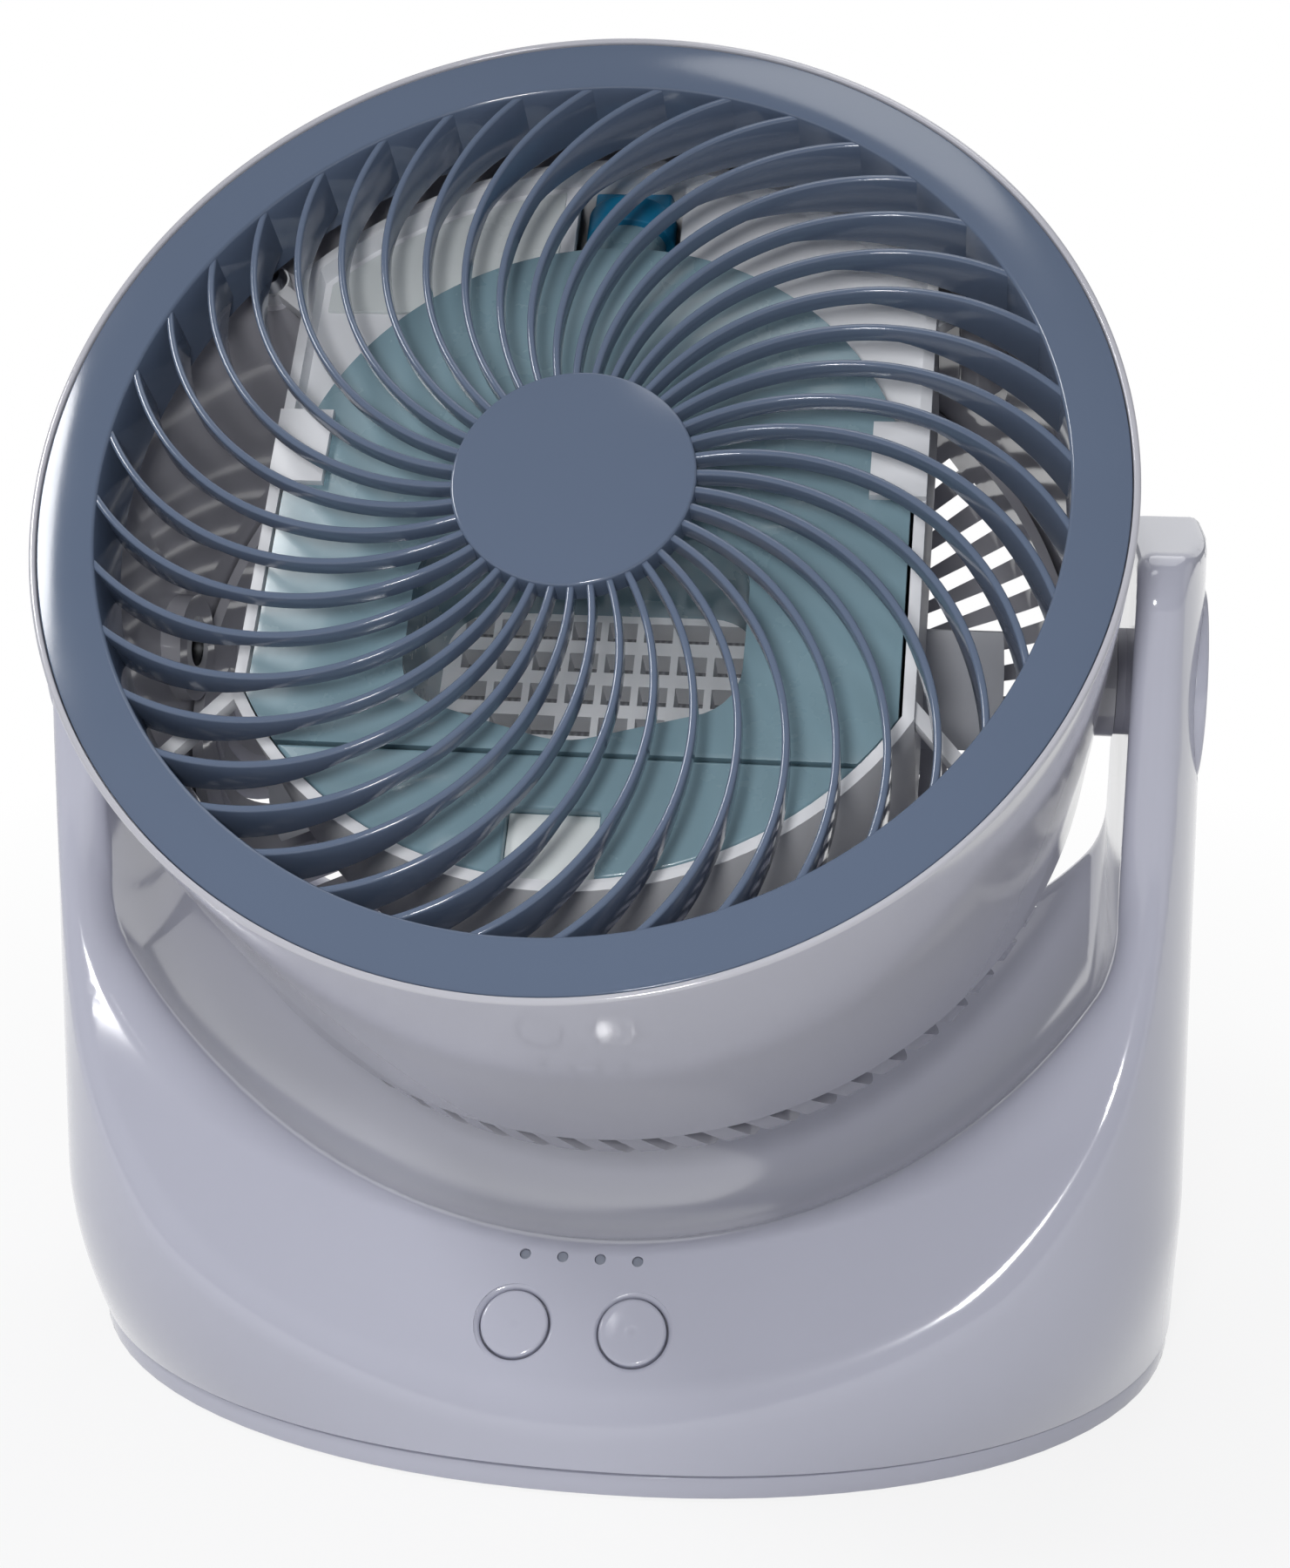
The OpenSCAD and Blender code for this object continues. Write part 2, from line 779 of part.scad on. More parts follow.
module front_grille() {
    color(slate)
        on_head()
            union() {
                translate([0, 0, face_z])
                    rotate_extrude()
                        polygon([
                            [ring_in_r, 0], [grille_r, 0], [grille_r, -ring_t],
                            [ring_in_r + skirt_t, -ring_t], [ring_in_r + skirt_t, -skirt_depth],
                            [ring_in_r, -skirt_depth]]);
                translate([0, 0, face_z])
                    rotate_extrude()
                        polygon([
                            [0, 0], [hub_r, 0], [hub_r, -hub_edge], [hub_r - 2, -hub_edge],
                            [hub_r - 2, -hub_t], [0, -hub_t]]);
                translate([0, 0, face_z])
                    intersection() {
                        for (i = [0:blade_count - 1])
                            rotate([0, 0, i * 360 / blade_count])
                                blade();
                        blade_room();
                    }
            }
}

module rear_cover() {
    corner_z = -tail_len + cover_round;
    color(white)
        on_head()
            difference() {
                rotate_extrude()
                    polygon(concat(
                        [[0, cover_in_z], [0, -tail_len]],
                        [for (a = [0:15:90])
                            [cover_r - cover_round + cover_round * sin(a),
                                corner_z - cover_round * cos(a)]],
                        [[cover_r, drum_end_z], [spigot_r, drum_end_z],
                            [spigot_r, drum_end_z + spigot_len],
                            [spigot_r - 2, drum_end_z + spigot_len]],
                        [for (a = [90:-15:0])
                            [spigot_r - 2 - cover_round + cover_round * sin(a),
                                cover_in_z + cover_round - cover_round * cos(a)]]));
                for (i = [0:slot_count - 1])
                    rotate([0, 0, i * 360 / slot_count])
                        translate([slot_in_r, 0, drum_end_z - slot_margin - 12])
                            rotate([slot_slant, 0, 0])
                                translate([0, -slot_w / 2, -14])
                                    cube([cover_r - slot_in_r + 5, slot_w, 26]);
                for (i = [0:inner_slot_count - 1])
                    rotate([0, 0, (i + 0.5) * 360 / inner_slot_count])
                        translate([inner_slot_in_r, -slot_w / 2, -tail_len - 1])
                            cube([inner_slot_out_r - inner_slot_in_r, slot_w, cover_t + 2]);
                for (a = [90, 210, 330])
                    rotate([0, 0, a])
                        translate([motor_r - 5, 0, -tail_len - 1])
                            cylinder(r = 1.4, h = cover_t + 2);
            }
}

// Outlines of the water box, seen from the front.
module tank_shape(grow) {
    intersection() {
        union() {
            translate([0, tank_round_y])
                circle(r = tank_hw + grow);
            translate([-tank_hw - grow, -drawer_r - grow])
                square([2 * (tank_hw + grow), drawer_r + grow + tank_round_y]);
        }
        union() {
            circle(r = drawer_r + grow);
            translate([-beyond / 2, 0])
                square([beyond, beyond]);
        }
    }
}

module tray_shape(inset) {
    intersection() {
        union() {
            circle(r = tray_r - inset);
            translate([-tray_hw + inset, 0])
                square([2 * (tray_hw - inset), beyond]);
        }
        circle(r = tray_top_r - inset);
        translate([-tray_hw + inset, -beyond / 2])
            square([2 * (tray_hw - inset), beyond]);
    }
}

module outlet_shape() {
    r = outlet_round;
    hull() {
        for (s = [-1, 1]) {
            translate([s * (outlet_hw - r), -outlet_bottom + r + 5])
                circle(r = r, $fn = 32);
            translate([s * (outlet_hw - r), -outlet_top - r])
                circle(r = r, $fn = 32);
        }
        translate([0, -outlet_bottom + 2 * r])
            circle(r = 2 * r, $fn = 64);
    }
}

module tank_tray() {
    color(white_in)
        on_head()
            difference() {
                union() {
                    translate([0, 0, tray_z])
                        linear_extrude(tank_z - tray_z)
                            difference() {
                                tray_shape(0);
                                tray_shape(tray_wall);
                            }
                    translate([0, 0, tray_z])
                        linear_extrude(tray_floor)
                            difference() {
                                tray_shape(0);
                                translate([-grid_hw + 2, grid_bottom_y + 2])
                                    square([2 * grid_hw - 4, grid_top_y - grid_bottom_y - 4]);
                            }
                    translate([0, 0, shelf_z - shelf_t])
                        linear_extrude(shelf_t)
                            difference() {
                                intersection() {
                                    tray_shape(0);
                                    translate([-beyond / 2, tab_top_y])
                                        square([beyond, beyond]);
                                }
                                tank_shape(tray_gap);
                                translate([-plug_r - 1.5, tab_top_y])
                                    square([2 * plug_r + 3, beyond]);
                            }
                    for (s = [-1, 1])
                        translate([s * (tray_hw - tab_reach / 2), tab_top_y - tab_h / 2, tank_z + tab_t / 2])
                            cube([tab_reach, tab_h, tab_t], center = true);
                    for (p = tray_posts) {
                        root = [sign(p[0]) * (tray_hw - 1), lug_root_y[p[1] > 0 ? 0 : 1]];
                        across = rib_w / 2 / norm(p - root) * [root[1] - p[1], p[0] - root[0]];
                        translate([0, 0, lug_z])
                            linear_extrude(lug_t)
                                polygon([root - across, p - across, p + across, root + across]);
                        translate([p[0], p[1], lug_z])
                            cylinder(r = lug_r, h = lug_t);
                    }
                }
                for (p = tray_posts)
                    translate([p[0], p[1], lug_z - 1])
                        cylinder(r = screw_r, h = lug_t + 2);
            }
}

module tray_screws() {
    color("silver")
        on_head()
            for (p = tray_posts)
                translate([p[0], p[1], lug_z - 10]) {
                    cylinder(r = screw_r, h = 10 + lug_t);
                    translate([0, 0, 10 + lug_t])
                        cylinder(r = 3, h = 1.6);
                }
}

module water_tank() {
    color(teal)
        on_head()
            difference() {
                union() {
                    translate([0, 0, tank_back_z])
                        linear_extrude(tank_t)
                            difference() {
                                intersection() {
                                    tank_shape(0);
                                    translate([-beyond / 2, -seam_y + seam_gap / 2])
                                        square([beyond, beyond]);
                                }
                                outlet_shape();
                            }
                    translate([0, tank_top - 4, neck_z])
                        rotate([-90, 0, 0])
                            cylinder(r = neck_r, h = neck_top_y - tank_top + 4);
                }
                translate([0, tank_top - 3, neck_z])
                    rotate([-90, 0, 0])
                        cylinder(r = neck_r - 1.5, h = 20);
            }
}

module tank_drawer() {
    color(teal)
        on_head()
            translate([0, 0, tank_back_z])
                linear_extrude(tank_t - 0.6)
                    difference() {
                        intersection() {
                            tank_shape(0);
                            translate([-beyond / 2, -seam_y - seam_gap / 2 - beyond])
                                square([beyond, beyond]);
                        }
                        translate([-window_w / 2, -window_top - beyond])
                            square([window_w, beyond]);
                    }
}

module level_window() {
    color(white)
        on_head()
            translate([0, 0, tank_back_z])
                linear_extrude(tank_t - 2.5)
                    intersection() {
                        tank_shape(0);
                        translate([-window_w / 2 + 0.1, -window_top - 0.1 - beyond])
                            square([window_w - 0.2, beyond]);
                    }
}

module fill_plug() {
    color("#1f7fa8")
        on_head()
            translate([0, neck_top_y, neck_z])
                rotate([-90, 0, 0]) {
                    cylinder(r = plug_r, h = plug_disc);
                    translate([0, 0, -5])
                        cylinder(r = neck_r - 1.5, h = 6);
                    translate([0, 0, plug_disc - 1])
                        intersection() {
                            cylinder(r = grip_r, h = plug_grip + 1);
                            translate([-plug_r, -grip_t / 2, 0])
                                cube([2 * plug_r, grip_t, plug_grip + 1]);
                        }
                }
}

module blank_plate() {
    color(white)
        on_head()
            translate([0, 0, shelf_z])
                linear_extrude(blank_t)
                    difference() {
                        intersection() {
                            tray_shape(tray_wall + 1.5);
                            translate([-tray_hw, plate_low_y])
                                square([tray_hw - plug_r - 4, beyond]);
                        }
                        tank_shape(tray_gap + 2);
                    }
}

module pad_grid() {
    levels = floor((outlet_bottom - outlet_top) / grid_pitch);
    uprights = floor(2 * outlet_hw / upright_pitch);
    mid_y = -(outlet_bottom + outlet_top) / 2;
    color(white)
        on_head()
            translate([0, 0, grid_z])
                linear_extrude(grid_t)
                    difference() {
                        translate([-grid_hw, grid_bottom_y])
                            square([2 * grid_hw, grid_top_y - grid_bottom_y]);
                        for (i = [0:levels - 1], j = [0:uprights - 1])
                            translate([(j - (uprights - 1) / 2) * upright_pitch,
                                mid_y + (i - (levels - 1) / 2) * grid_pitch])
                                square([upright_pitch - upright_bar, grid_pitch - grid_bar], center = true);
                    }
}

module cooling_pad() {
    color("#8d8f93")
        on_head()
            translate([-grid_hw, grid_bottom_y, tray_z + tray_floor])
                cube([2 * grid_hw, grid_top_y - grid_bottom_y, grid_z - tray_z - tray_floor]);
}

module motor() {
    color("#3c3e44")
        on_head()
            difference() {
                translate([0, 0, cover_in_z])
                    cylinder(r = motor_r, h = motor_len);
                translate([0, 0, cover_in_z + 3])
                    cylinder(r = shaft_r + shaft_fit, h = motor_len);
                for (a = [90, 210, 330])
                    rotate([0, 0, a])
                        translate([motor_r - 5, 0, cover_in_z - 1])
                            cylinder(r = 1.4, h = 6);
            }
}

module motor_screws() {
    color("silver")
        on_head()
            for (a = [90, 210, 330])
                rotate([0, 0, a])
                    translate([motor_r - 5, 0, -tail_len - 1.4]) {
                        cylinder(r = 2.6, h = 1.4);
                        cylinder(r = 1.4, h = 1.4 + cover_t + 4);
                    }
}

module impeller() {
    cup_r = fan_hub_r - hub_wall;
    color("#dcdde2")
        on_head()
            difference() {
                union() {
                    translate([0, 0, hub_back_z])
                        cylinder(r = fan_hub_r, h = fan_hub_len);
                    intersection() {
                        for (i = [0:fan_blades - 1])
                            rotate([0, 0, i * 360 / fan_blades])
                                translate([fan_hub_r - 1, 0, hub_front_z - fan_hub_len / 2])
                                    rotate([fan_pitch, 0, 0])
                                        translate([0, -fan_chord / 2, -fan_blade_t / 2])
                                            cube([fan_r, fan_chord, fan_blade_t]);
                        translate([0, 0, hub_back_z - 5])
                            cylinder(r = fan_r, h = fan_hub_len + 10);
                    }
                }
                translate([0, 0, hub_back_z - 1])
                    difference() {
                        cylinder(r = cup_r, h = fan_hub_len - hub_wall + 1);
                        translate([0, 0, fan_hub_len - hub_wall - 6])
                            cylinder(r = shaft_r + 3, h = 20);
                    }
                translate([0, 0, hub_back_z - 1])
                    cylinder(r = shaft_r, h = fan_hub_len + 2);
            }
}

module motor_shaft() {
    color("silver")
        on_head()
            translate([0, 0, cover_in_z + 3.5])
                cylinder(r = shaft_r, h = hub_front_z - cover_in_z - 3.5);
}

base_body();
base_plate();
rubber_feet();
base_screws();
power_inlet();
control_board();
board_screws();
tact_switches();
light_pipes();
button_left();
button_right();
pivot_washers();
pivot_caps();
pivot_pins();
pivot_clips();
drum();
front_grille();
rear_cover();
tank_tray();
tray_screws();
water_tank();
tank_drawer();
level_window();
fill_plug();
blank_plate();
pad_grid();
cooling_pad();
motor();
motor_screws();
impeller();
motor_shaft();
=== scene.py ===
"""Desktop evaporative air cooler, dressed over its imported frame.

The head is drawn in its own axes, with z forward along the fan and y up the grille, and the stand in
the frame's axes. Sizes in the shape code are millimetres and become metres when a piece is made.
"""

import json
import math

import bmesh
import bpy
import numpy as np
from bpy.props import FloatProperty, FloatVectorProperty, IntProperty, PointerProperty
from mathutils import Matrix, Vector


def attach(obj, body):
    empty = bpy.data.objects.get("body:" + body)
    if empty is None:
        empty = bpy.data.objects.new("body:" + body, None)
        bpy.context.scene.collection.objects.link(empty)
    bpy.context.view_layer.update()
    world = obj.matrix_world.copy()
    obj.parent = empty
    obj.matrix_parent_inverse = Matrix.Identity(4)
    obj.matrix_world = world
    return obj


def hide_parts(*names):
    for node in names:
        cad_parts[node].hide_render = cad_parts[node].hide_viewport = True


bl_info = {
    "name": "Air Cooler Builder",
    "version": (1, 0, 0),
    "blender": (4, 5, 0),
    "location": "3D View > Sidebar > Air Cooler",
    "description": "Builds the visible pieces of a desktop evaporative air cooler over its frame",
    "category": "Object",
}

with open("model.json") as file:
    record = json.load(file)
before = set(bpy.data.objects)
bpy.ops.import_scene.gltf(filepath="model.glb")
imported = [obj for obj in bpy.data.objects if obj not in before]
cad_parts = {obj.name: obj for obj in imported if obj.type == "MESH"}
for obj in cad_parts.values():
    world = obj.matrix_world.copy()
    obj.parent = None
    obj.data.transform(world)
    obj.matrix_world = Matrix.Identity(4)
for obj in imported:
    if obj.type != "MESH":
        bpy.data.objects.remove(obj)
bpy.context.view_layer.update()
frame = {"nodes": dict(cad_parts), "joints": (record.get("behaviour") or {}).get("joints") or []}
NODES = frame["nodes"]
TILT_AXIS = Vector(frame["joints"][0]["pos_m"])
HEAD_TILT = math.radians(40)
HEAD_TURN = (math.pi / 2 - HEAD_TILT, 0.0, 0.0)
HEAD = Matrix.Translation(TILT_AXIS) @ Matrix.Rotation(HEAD_TURN[0], 4, "X")

# Stand, millimetres, with the tilt axis above y = 0
AXIS_Y = TILT_AXIS.y * 1000
AXIS_H = TILT_AXIS.z * 1000
ARM_IN = 91.0
ARM_TOP = AXIS_H + 26.8
ARM_FRONT = 27.7
ARM_BACK = 27.7
SIDE_HW = 108.0
WIDE_BACK = 16.3
FRONT_LEN = 80.4
REAR_LEN = 43.7
REAR_Y = WIDE_BACK + REAR_LEN
PLATE_TOP = 4.6
BELLY_H = 36.0
SHELL_T = 2.5
BOWL_R = math.hypot(84.4, 36) + 13
LIP_FRONT = 42.1
LIP_Z = AXIS_H - math.sqrt(BOWL_R**2 - LIP_FRONT**2)
PANEL_SLOPE = math.radians(45)
FUNNEL_TILT = math.radians(20)
FUNNEL_R = 95.0
CAP_SEAT = 101.2
CAP_HOLE_R = 17.7
CAP_PAD_R = 20.5
FOOT_LEAN = 0.3
SIDE_LEAN = 3.6
FOOT_SQUARE = 2.15
BELLY_SQUARE = 3.05
REAR_SQUARE = 4.0
BACK_CURVE = 2.2
BACK_FOOT = 12
FUNNEL_ROUND = 14.0
BOWL_ROUND = 3.0
CREASE_TOP = 95
CREASE_FOOT = 40
SHOULDER_RISE = 22
SHOULDER_TOP = 118
SHOULDER_FADE = 30
COLUMNS = [(62, -34), (-62, -34), (84, 28), (-84, 28)]
COLUMN_R = 4
SCREW_BORE_R = 1.5
PIN_BORE_R = 6.06
PIN_PAD_R = 11
INLET_H = 16
INLET_R = 4.15
SKIN_LOW = (-110.2, -68.3, -1.9)
SKIN_HIGH = (110.2, 63.3, ARM_TOP + 2)
BASE = Matrix.Translation((0, AXIS_Y, 0))

# Control panel, millimetres in its own axes, with y up the slope and z out of it
PANEL_DROP = 3.4
PANEL = (
    Matrix.Translation((0, AXIS_Y - LIP_FRONT, LIP_Z))
    @ Matrix.Rotation(PANEL_SLOPE, 4, "X")
    @ Matrix.Translation((0, -PANEL_DROP, 0))
)
BUTTON_X = 10.5
BUTTON_Y = -12.7
BUTTON_HOLE_R = 6.3
LAMP_PITCH = 6.75
LAMP_HOLE_R = 1.0
BOARD_POST_X = 27
BOARD_POST_Y = -8
BOARD_POST_R = 3
BOARD_POST_TOP = 10.4

# Head, millimetres
FACE = 65.0
TAIL = 36.0
DRUM_END = -16.0
RIM_R = 89.4
DRUM_REAR_R = 86.0
DRUM_T = 2.2
BOSS_R = 10.0
BOSS_BORE_R = 6.0
GRILLE_R = 88.0
GRILLE_T = 2.6
RING_IN = 78.6
HUB_R = 19.9
SKIRT_T = 1.8
FLARE = 20.0
HUB_EDGE = 5.0
BLADE_END_R = 79.3
COVER_R = DRUM_REAR_R - 1.6
SPIGOT_R = DRUM_REAR_R - 2.4
COVER_T = 2.2
CORNER_R = 8
LUG_Z = 41.0
POST_LOW = 18.0
POST_R = 4.5
POST_INSET = 4.9


def drum_at(z):
    """The drum's outer radius."""
    return RIM_R - (RIM_R - DRUM_REAR_R) * (FACE - z) / (FACE - DRUM_END)


def polar(r, angles):
    return [(r * math.cos(math.radians(a)), r * math.sin(math.radians(a))) for a in angles]


TRAY_POSTS = polar(drum_at(POST_LOW) - POST_INSET, (39.3, 140.7, -33.1, -146.9))
MOTOR_SCREWS = polar(10, (90, 210, 330))


def length_prop(label, text, value):
    return FloatProperty(name=label, description=text, default=value, unit="LENGTH")


class CoolerSizes(bpy.types.PropertyGroup):
    """Sizes that change how the cooler looks."""

    blade_count: IntProperty(
        name="Blades", description="Number of spiral blades in the grille", default=40, min=12, max=60
    )
    blade_thickness: length_prop("Blade Thickness", "Thickness of a grille blade", 0.0012)
    blade_depth: length_prop("Blade Depth", "Depth of a grille blade over its slim inner part", 0.0036)
    blade_root: length_prop("Blade Root", "Depth of a grille blade where it meets the ring", 0.0117)
    blade_arc: length_prop("Blade Arc", "Radius of a grille blade's sweep", 0.045)
    blade_lean: FloatProperty(
        name="Blade Lean", description="Lean of a blade where it leaves the hub",
        default=math.radians(5), subtype="ANGLE",
    )
    blade_drop: length_prop(
        "Blade Drop", "Depth of the blades' front edges behind the grille's face", 0.0005
    )
    crease_round: length_prop("Crease Rounding", "Radius of the crease beside the control panel", 0.0038)
    arm_crease: length_prop("Arm Crease", "Radius of the crease along the arms", 0.002)
    lip_round: length_prop("Lip Rounding", "Radius of the cradle's lip", 0.0028)
    shoulder_round: length_prop(
        "Shoulder Rounding", "Radius of the lip where it climbs to the arms", 0.0085
    )
    arm_round: length_prop("Arm Rounding", "Radius of the arms' upper corners", 0.009)
    skin_step: length_prop("Skin Step", "Spacing of the points on the stand's skin", 0.0013)
    seam: length_prop("Seam", "Height of the seam between the stand and its base plate", 0.0008)
    edge_round: length_prop("Edge Rounding", "Radius of small moulded edges", 0.0004)


def colour_prop(label, text, value):
    return FloatVectorProperty(
        name=label, description=text, default=value, size=3, min=0, max=1, subtype="COLOR_GAMMA"
    )


class CoolerColours(bpy.types.PropertyGroup):
    """Colours of the cooler's mouldings, as they look on a screen."""

    stand_white: colour_prop("Stand", "Glossy white of the stand", (0.75, 0.755, 0.81))
    drum_white: colour_prop("Drum", "Glossy white of the drum", (0.735, 0.735, 0.765))
    inner_white: colour_prop("Inner White", "Satin white of the parts inside the head", (0.90, 0.905, 0.92))
    slate: colour_prop("Grille", "Slate blue of the grille", (0.37, 0.42, 0.505))
    teal: colour_prop("Water Box", "Teal of the water tank and drawer", (0.49, 0.6, 0.645))
    plug_blue: colour_prop("Plug", "Blue of the filler plug", (0.07, 0.46, 0.62))


# ---- nodes


def node_in(nt, kind, links=(), **settings):
    """A node with its settings made and its inputs linked or set."""
    n = nt.nodes.new(kind)
    for key, value in settings.items():
        setattr(n, key, value)
    for key, value in dict(links).items():
        if isinstance(value, bpy.types.NodeSocket):
            nt.links.new(value, n.inputs[key])
        else:
            n.inputs[key].default_value = value
    return n


def calc(nt, operation, a, b):
    return node_in(nt, "ShaderNodeMath", {0: a, 1: b}, operation=operation).outputs[0]


def vector(nt, **parts):
    return node_in(nt, "ShaderNodeCombineXYZ", parts).outputs[0]


# ---- materials


def linear(c):
    return [v / 12.92 if v <= 0.04045 else ((v + 0.055) / 1.055) ** 2.4 for v in c] + [1.0]


def shaded(colour, factor):
    return [min(1.0, v * factor) for v in colour[:3]] + [1.0]


def finish_tree(name):
    """A new material with its shader and the object's own coordinates."""
    mat = bpy.data.materials.new(name)
    mat.use_nodes = True
    nt = mat.node_tree
    return mat, nt, nt.nodes["Principled BSDF"], nt.nodes.new("ShaderNodeTexCoord").outputs["Object"]


def noise(nt, at, scale, detail, rough=0.5):
    links = {"Vector": at, "Scale": scale, "Detail": detail, "Roughness": rough}
    return node_in(nt, "ShaderNodeTexNoise", links).outputs["Fac"]


def spread(nt, value, low, high):
    """Maps a noise, which stays mostly between 0.3 and 0.7, to a range."""
    links = {"Value": value, "From Min": 0.3, "From Max": 0.7, "To Min": low, "To Max": high}
    return node_in(nt, "ShaderNodeMapRange", links).outputs["Result"]


def colour_by(nt, shader, fac, a, b):
    mix = node_in(nt, "ShaderNodeMix", {"Factor": fac, "A": a, "B": b}, data_type="RGBA")
    nt.links.new(mix.outputs["Result"], shader.inputs["Base Color"])


def relief(nt, shader, height, depth):
    bump = node_in(nt, "ShaderNodeBump", {"Strength": 1.0, "Distance": depth, "Height": height})
    nt.links.new(bump.outputs["Normal"], shader.inputs["Normal"])


def moulded(name, colour, roughness, grain, depth, mottle, coat=0.0):
    """Moulded plastic: faint colour drift, uneven sheen and a fine moulded grain."""
    mat, nt, shader, at = finish_tree(name)
    base = linear(colour)
    drift = spread(nt, noise(nt, at, 22.0, 4.0), 0.0, 1.0)
    colour_by(nt, shader, drift, shaded(base, 1 - mottle), shaded(base, 1 + mottle))
    sheen = spread(nt, noise(nt, at, 60.0, 5.0, 0.6), roughness * 0.85, roughness * 1.15)
    nt.links.new(sheen, shader.inputs["Roughness"])
    relief(nt, shader, noise(nt, at, grain, 2.0), depth)
    shader.inputs["Coat Weight"].default_value = coat
    shader.inputs["Coat Roughness"].default_value = 0.08
    return mat


def metal(name, colour, roughness):
    """Bright metal with fine drawn lines."""
    mat, nt, shader, at = finish_tree(name)
    base = linear(colour)
    stretch = node_in(nt, "ShaderNodeMapping", {"Vector": at, "Scale": (1.0, 0.06, 0.06)})
    lines = noise(nt, stretch.outputs["Vector"], 1400.0, 4.0)
    colour_by(nt, shader, spread(nt, lines, 0, 1), shaded(base, 0.8), base)
    nt.links.new(spread(nt, lines, roughness * 0.8, roughness * 1.3), shader.inputs["Roughness"])
    shader.inputs["Metallic"].default_value = 1.0
    relief(nt, shader, lines, 0.00001)
    return mat


def woven(name, colour, pitch):
    """A wick of crossed threads."""
    mat, nt, shader, at = finish_tree(name)
    base = linear(colour)
    links = {"Vector": at, "Scale": 0.314 / pitch, "Distortion": 0.4}
    waves = [node_in(nt, "ShaderNodeTexWave", links, bands_direction=axis).outputs["Fac"] for axis in "XZ"]
    threads = calc(nt, "MULTIPLY", *waves)
    colour_by(nt, shader, threads, shaded(base, 0.55), base)
    shader.inputs["Roughness"].default_value = 0.9
    relief(nt, shader, threads, 0.0003)
    return mat


FINISHES = {}


def make_finishes(colours):
    # Moulded finishes: colour, roughness, the grain's scale and depth, colour drift, and a clear coat
    FINISHES.update(
        stand=moulded("stand_gloss_white", colours.stand_white, 0.12, 700, 0.000002, 0.01, 0.3),
        drum=moulded("drum_gloss_white", colours.drum_white, 0.1, 700, 0.000002, 0.01, 0.4),
        inner=moulded("inner_satin_white", colours.inner_white, 0.4, 1100, 0.00001, 0.02),
        window=moulded("window_white", (0.86, 0.88, 0.88), 0.3, 900, 0.000006, 0.02),
        slate=moulded("grille_slate_blue", colours.slate, 0.1, 2200, 0.000003, 0.02),
        teal=moulded("water_box_teal", colours.teal, 0.26, 900, 0.000008, 0.03, 0.3),
        blue=moulded("plug_blue", colours.plug_blue, 0.4, 1300, 0.00002, 0.05),
        fan=moulded("fan_white", (0.80, 0.81, 0.84), 0.4, 1100, 0.00001, 0.02),
        dark=moulded("motor_dark", (0.2, 0.21, 0.24), 0.45, 1600, 0.00003, 0.1),
        black=moulded("black_plastic", (0.1, 0.1, 0.11), 0.5, 1600, 0.00003, 0.1),
        rubber=moulded("foot_rubber", (0.13, 0.13, 0.14), 0.8, 1800, 0.00006, 0.12),
        washer=moulded("washer_grey", (0.62, 0.62, 0.67), 0.5, 1500, 0.00002, 0.06),
        board=moulded("circuit_board", (0.12, 0.34, 0.22), 0.4, 260, 0.00005, 0.35),
        lens=moulded("lamp_lens", (0.55, 0.57, 0.62), 0.3, 900, 0.00001, 0.05),
        steel=metal("screw_steel", (0.74, 0.75, 0.77), 0.3),
        wick=woven("wick_grey", (0.52, 0.53, 0.55), 0.0012),
    )


# ---- shapes


def mesh_of(verts, faces):
    """A mesh of closed shells with their faces outwards."""
    mesh = bpy.data.meshes.new("shape")
    mesh.from_pydata([tuple(v) for v in verts], [], [tuple(int(i) for i in f) for f in faces])
    bm = bmesh.new()
    bm.from_mesh(mesh)
    bmesh.ops.remove_doubles(bm, verts=bm.verts, dist=1e-7)
    bmesh.ops.recalc_face_normals(bm, faces=bm.faces)
    bm.to_mesh(mesh)
    bm.free()
    return mesh


def solid(shape):
    """A mesh of (verts, faces) in millimetres."""
    verts, faces = shape
    return mesh_of(verts * 0.001, faces)


def show(name, mesh, body, finish, node, sharp):
    """Makes a finished piece of a mesh that is already in place, standing for a node."""
    obj = loose(mesh, name)
    mesh.materials.clear()
    mesh.materials.append(FINISHES[finish])
    mesh.shade_smooth()
    mesh.set_sharp_from_angle(angle=math.radians(sharp))
    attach(obj, body)
    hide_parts(node)


def settled(obj, name):
    """The mesh that an object's modifiers give. The object goes."""
    bpy.context.view_layer.update()
    evaluated = obj.evaluated_get(bpy.context.evaluated_depsgraph_get())
    mesh = bpy.data.meshes.new_from_object(evaluated)
    mesh.name = name
    bpy.data.objects.remove(obj)
    return mesh


def loose(data, name="work"):
    """A new object in the scene."""
    obj = bpy.data.objects.new(name, data)
    bpy.context.scene.collection.objects.link(obj)
    return obj


def cut(mesh, cutter, operation="DIFFERENCE"):
    """One mesh less, or joined with, another."""
    a, b = loose(mesh), loose(cutter)
    mod = a.modifiers.new("cut", "BOOLEAN")
    mod.operation, mod.solver, mod.object = operation, "EXACT", b
    out = settled(a, "cut")
    bpy.data.objects.remove(b)
    return out


def dress(name, node, body, finish, edge, segments=2):
    """A node's own shape with its sharp edges rounded."""
    sharp = 35.0
    bm = bmesh.new()
    bm.from_mesh(NODES[node].data)
    bmesh.ops.remove_doubles(bm, verts=bm.verts, dist=2e-6)
    bmesh.ops.dissolve_limit(bm, angle_limit=math.radians(0.4), verts=bm.verts, edges=bm.edges)
    mesh = bpy.data.meshes.new(name)
    bm.to_mesh(mesh)
    bm.free()
    obj = loose(mesh)
    mod = obj.modifiers.new("edges", "BEVEL")
    mod.width, mod.segments, mod.limit_method = edge, segments, "ANGLE"
    mod.angle_limit = math.radians(sharp)
    mod.use_clamp_overlap = True
    mod.miter_outer = "MITER_ARC"
    show(name, settled(obj, name), body, finish, node, sharp)


def carry(node, finish):
    """A frame node that keeps its own shape and takes a finish."""
    materials = NODES[node].data.materials
    materials.clear()
    materials.append(FINISHES[finish])


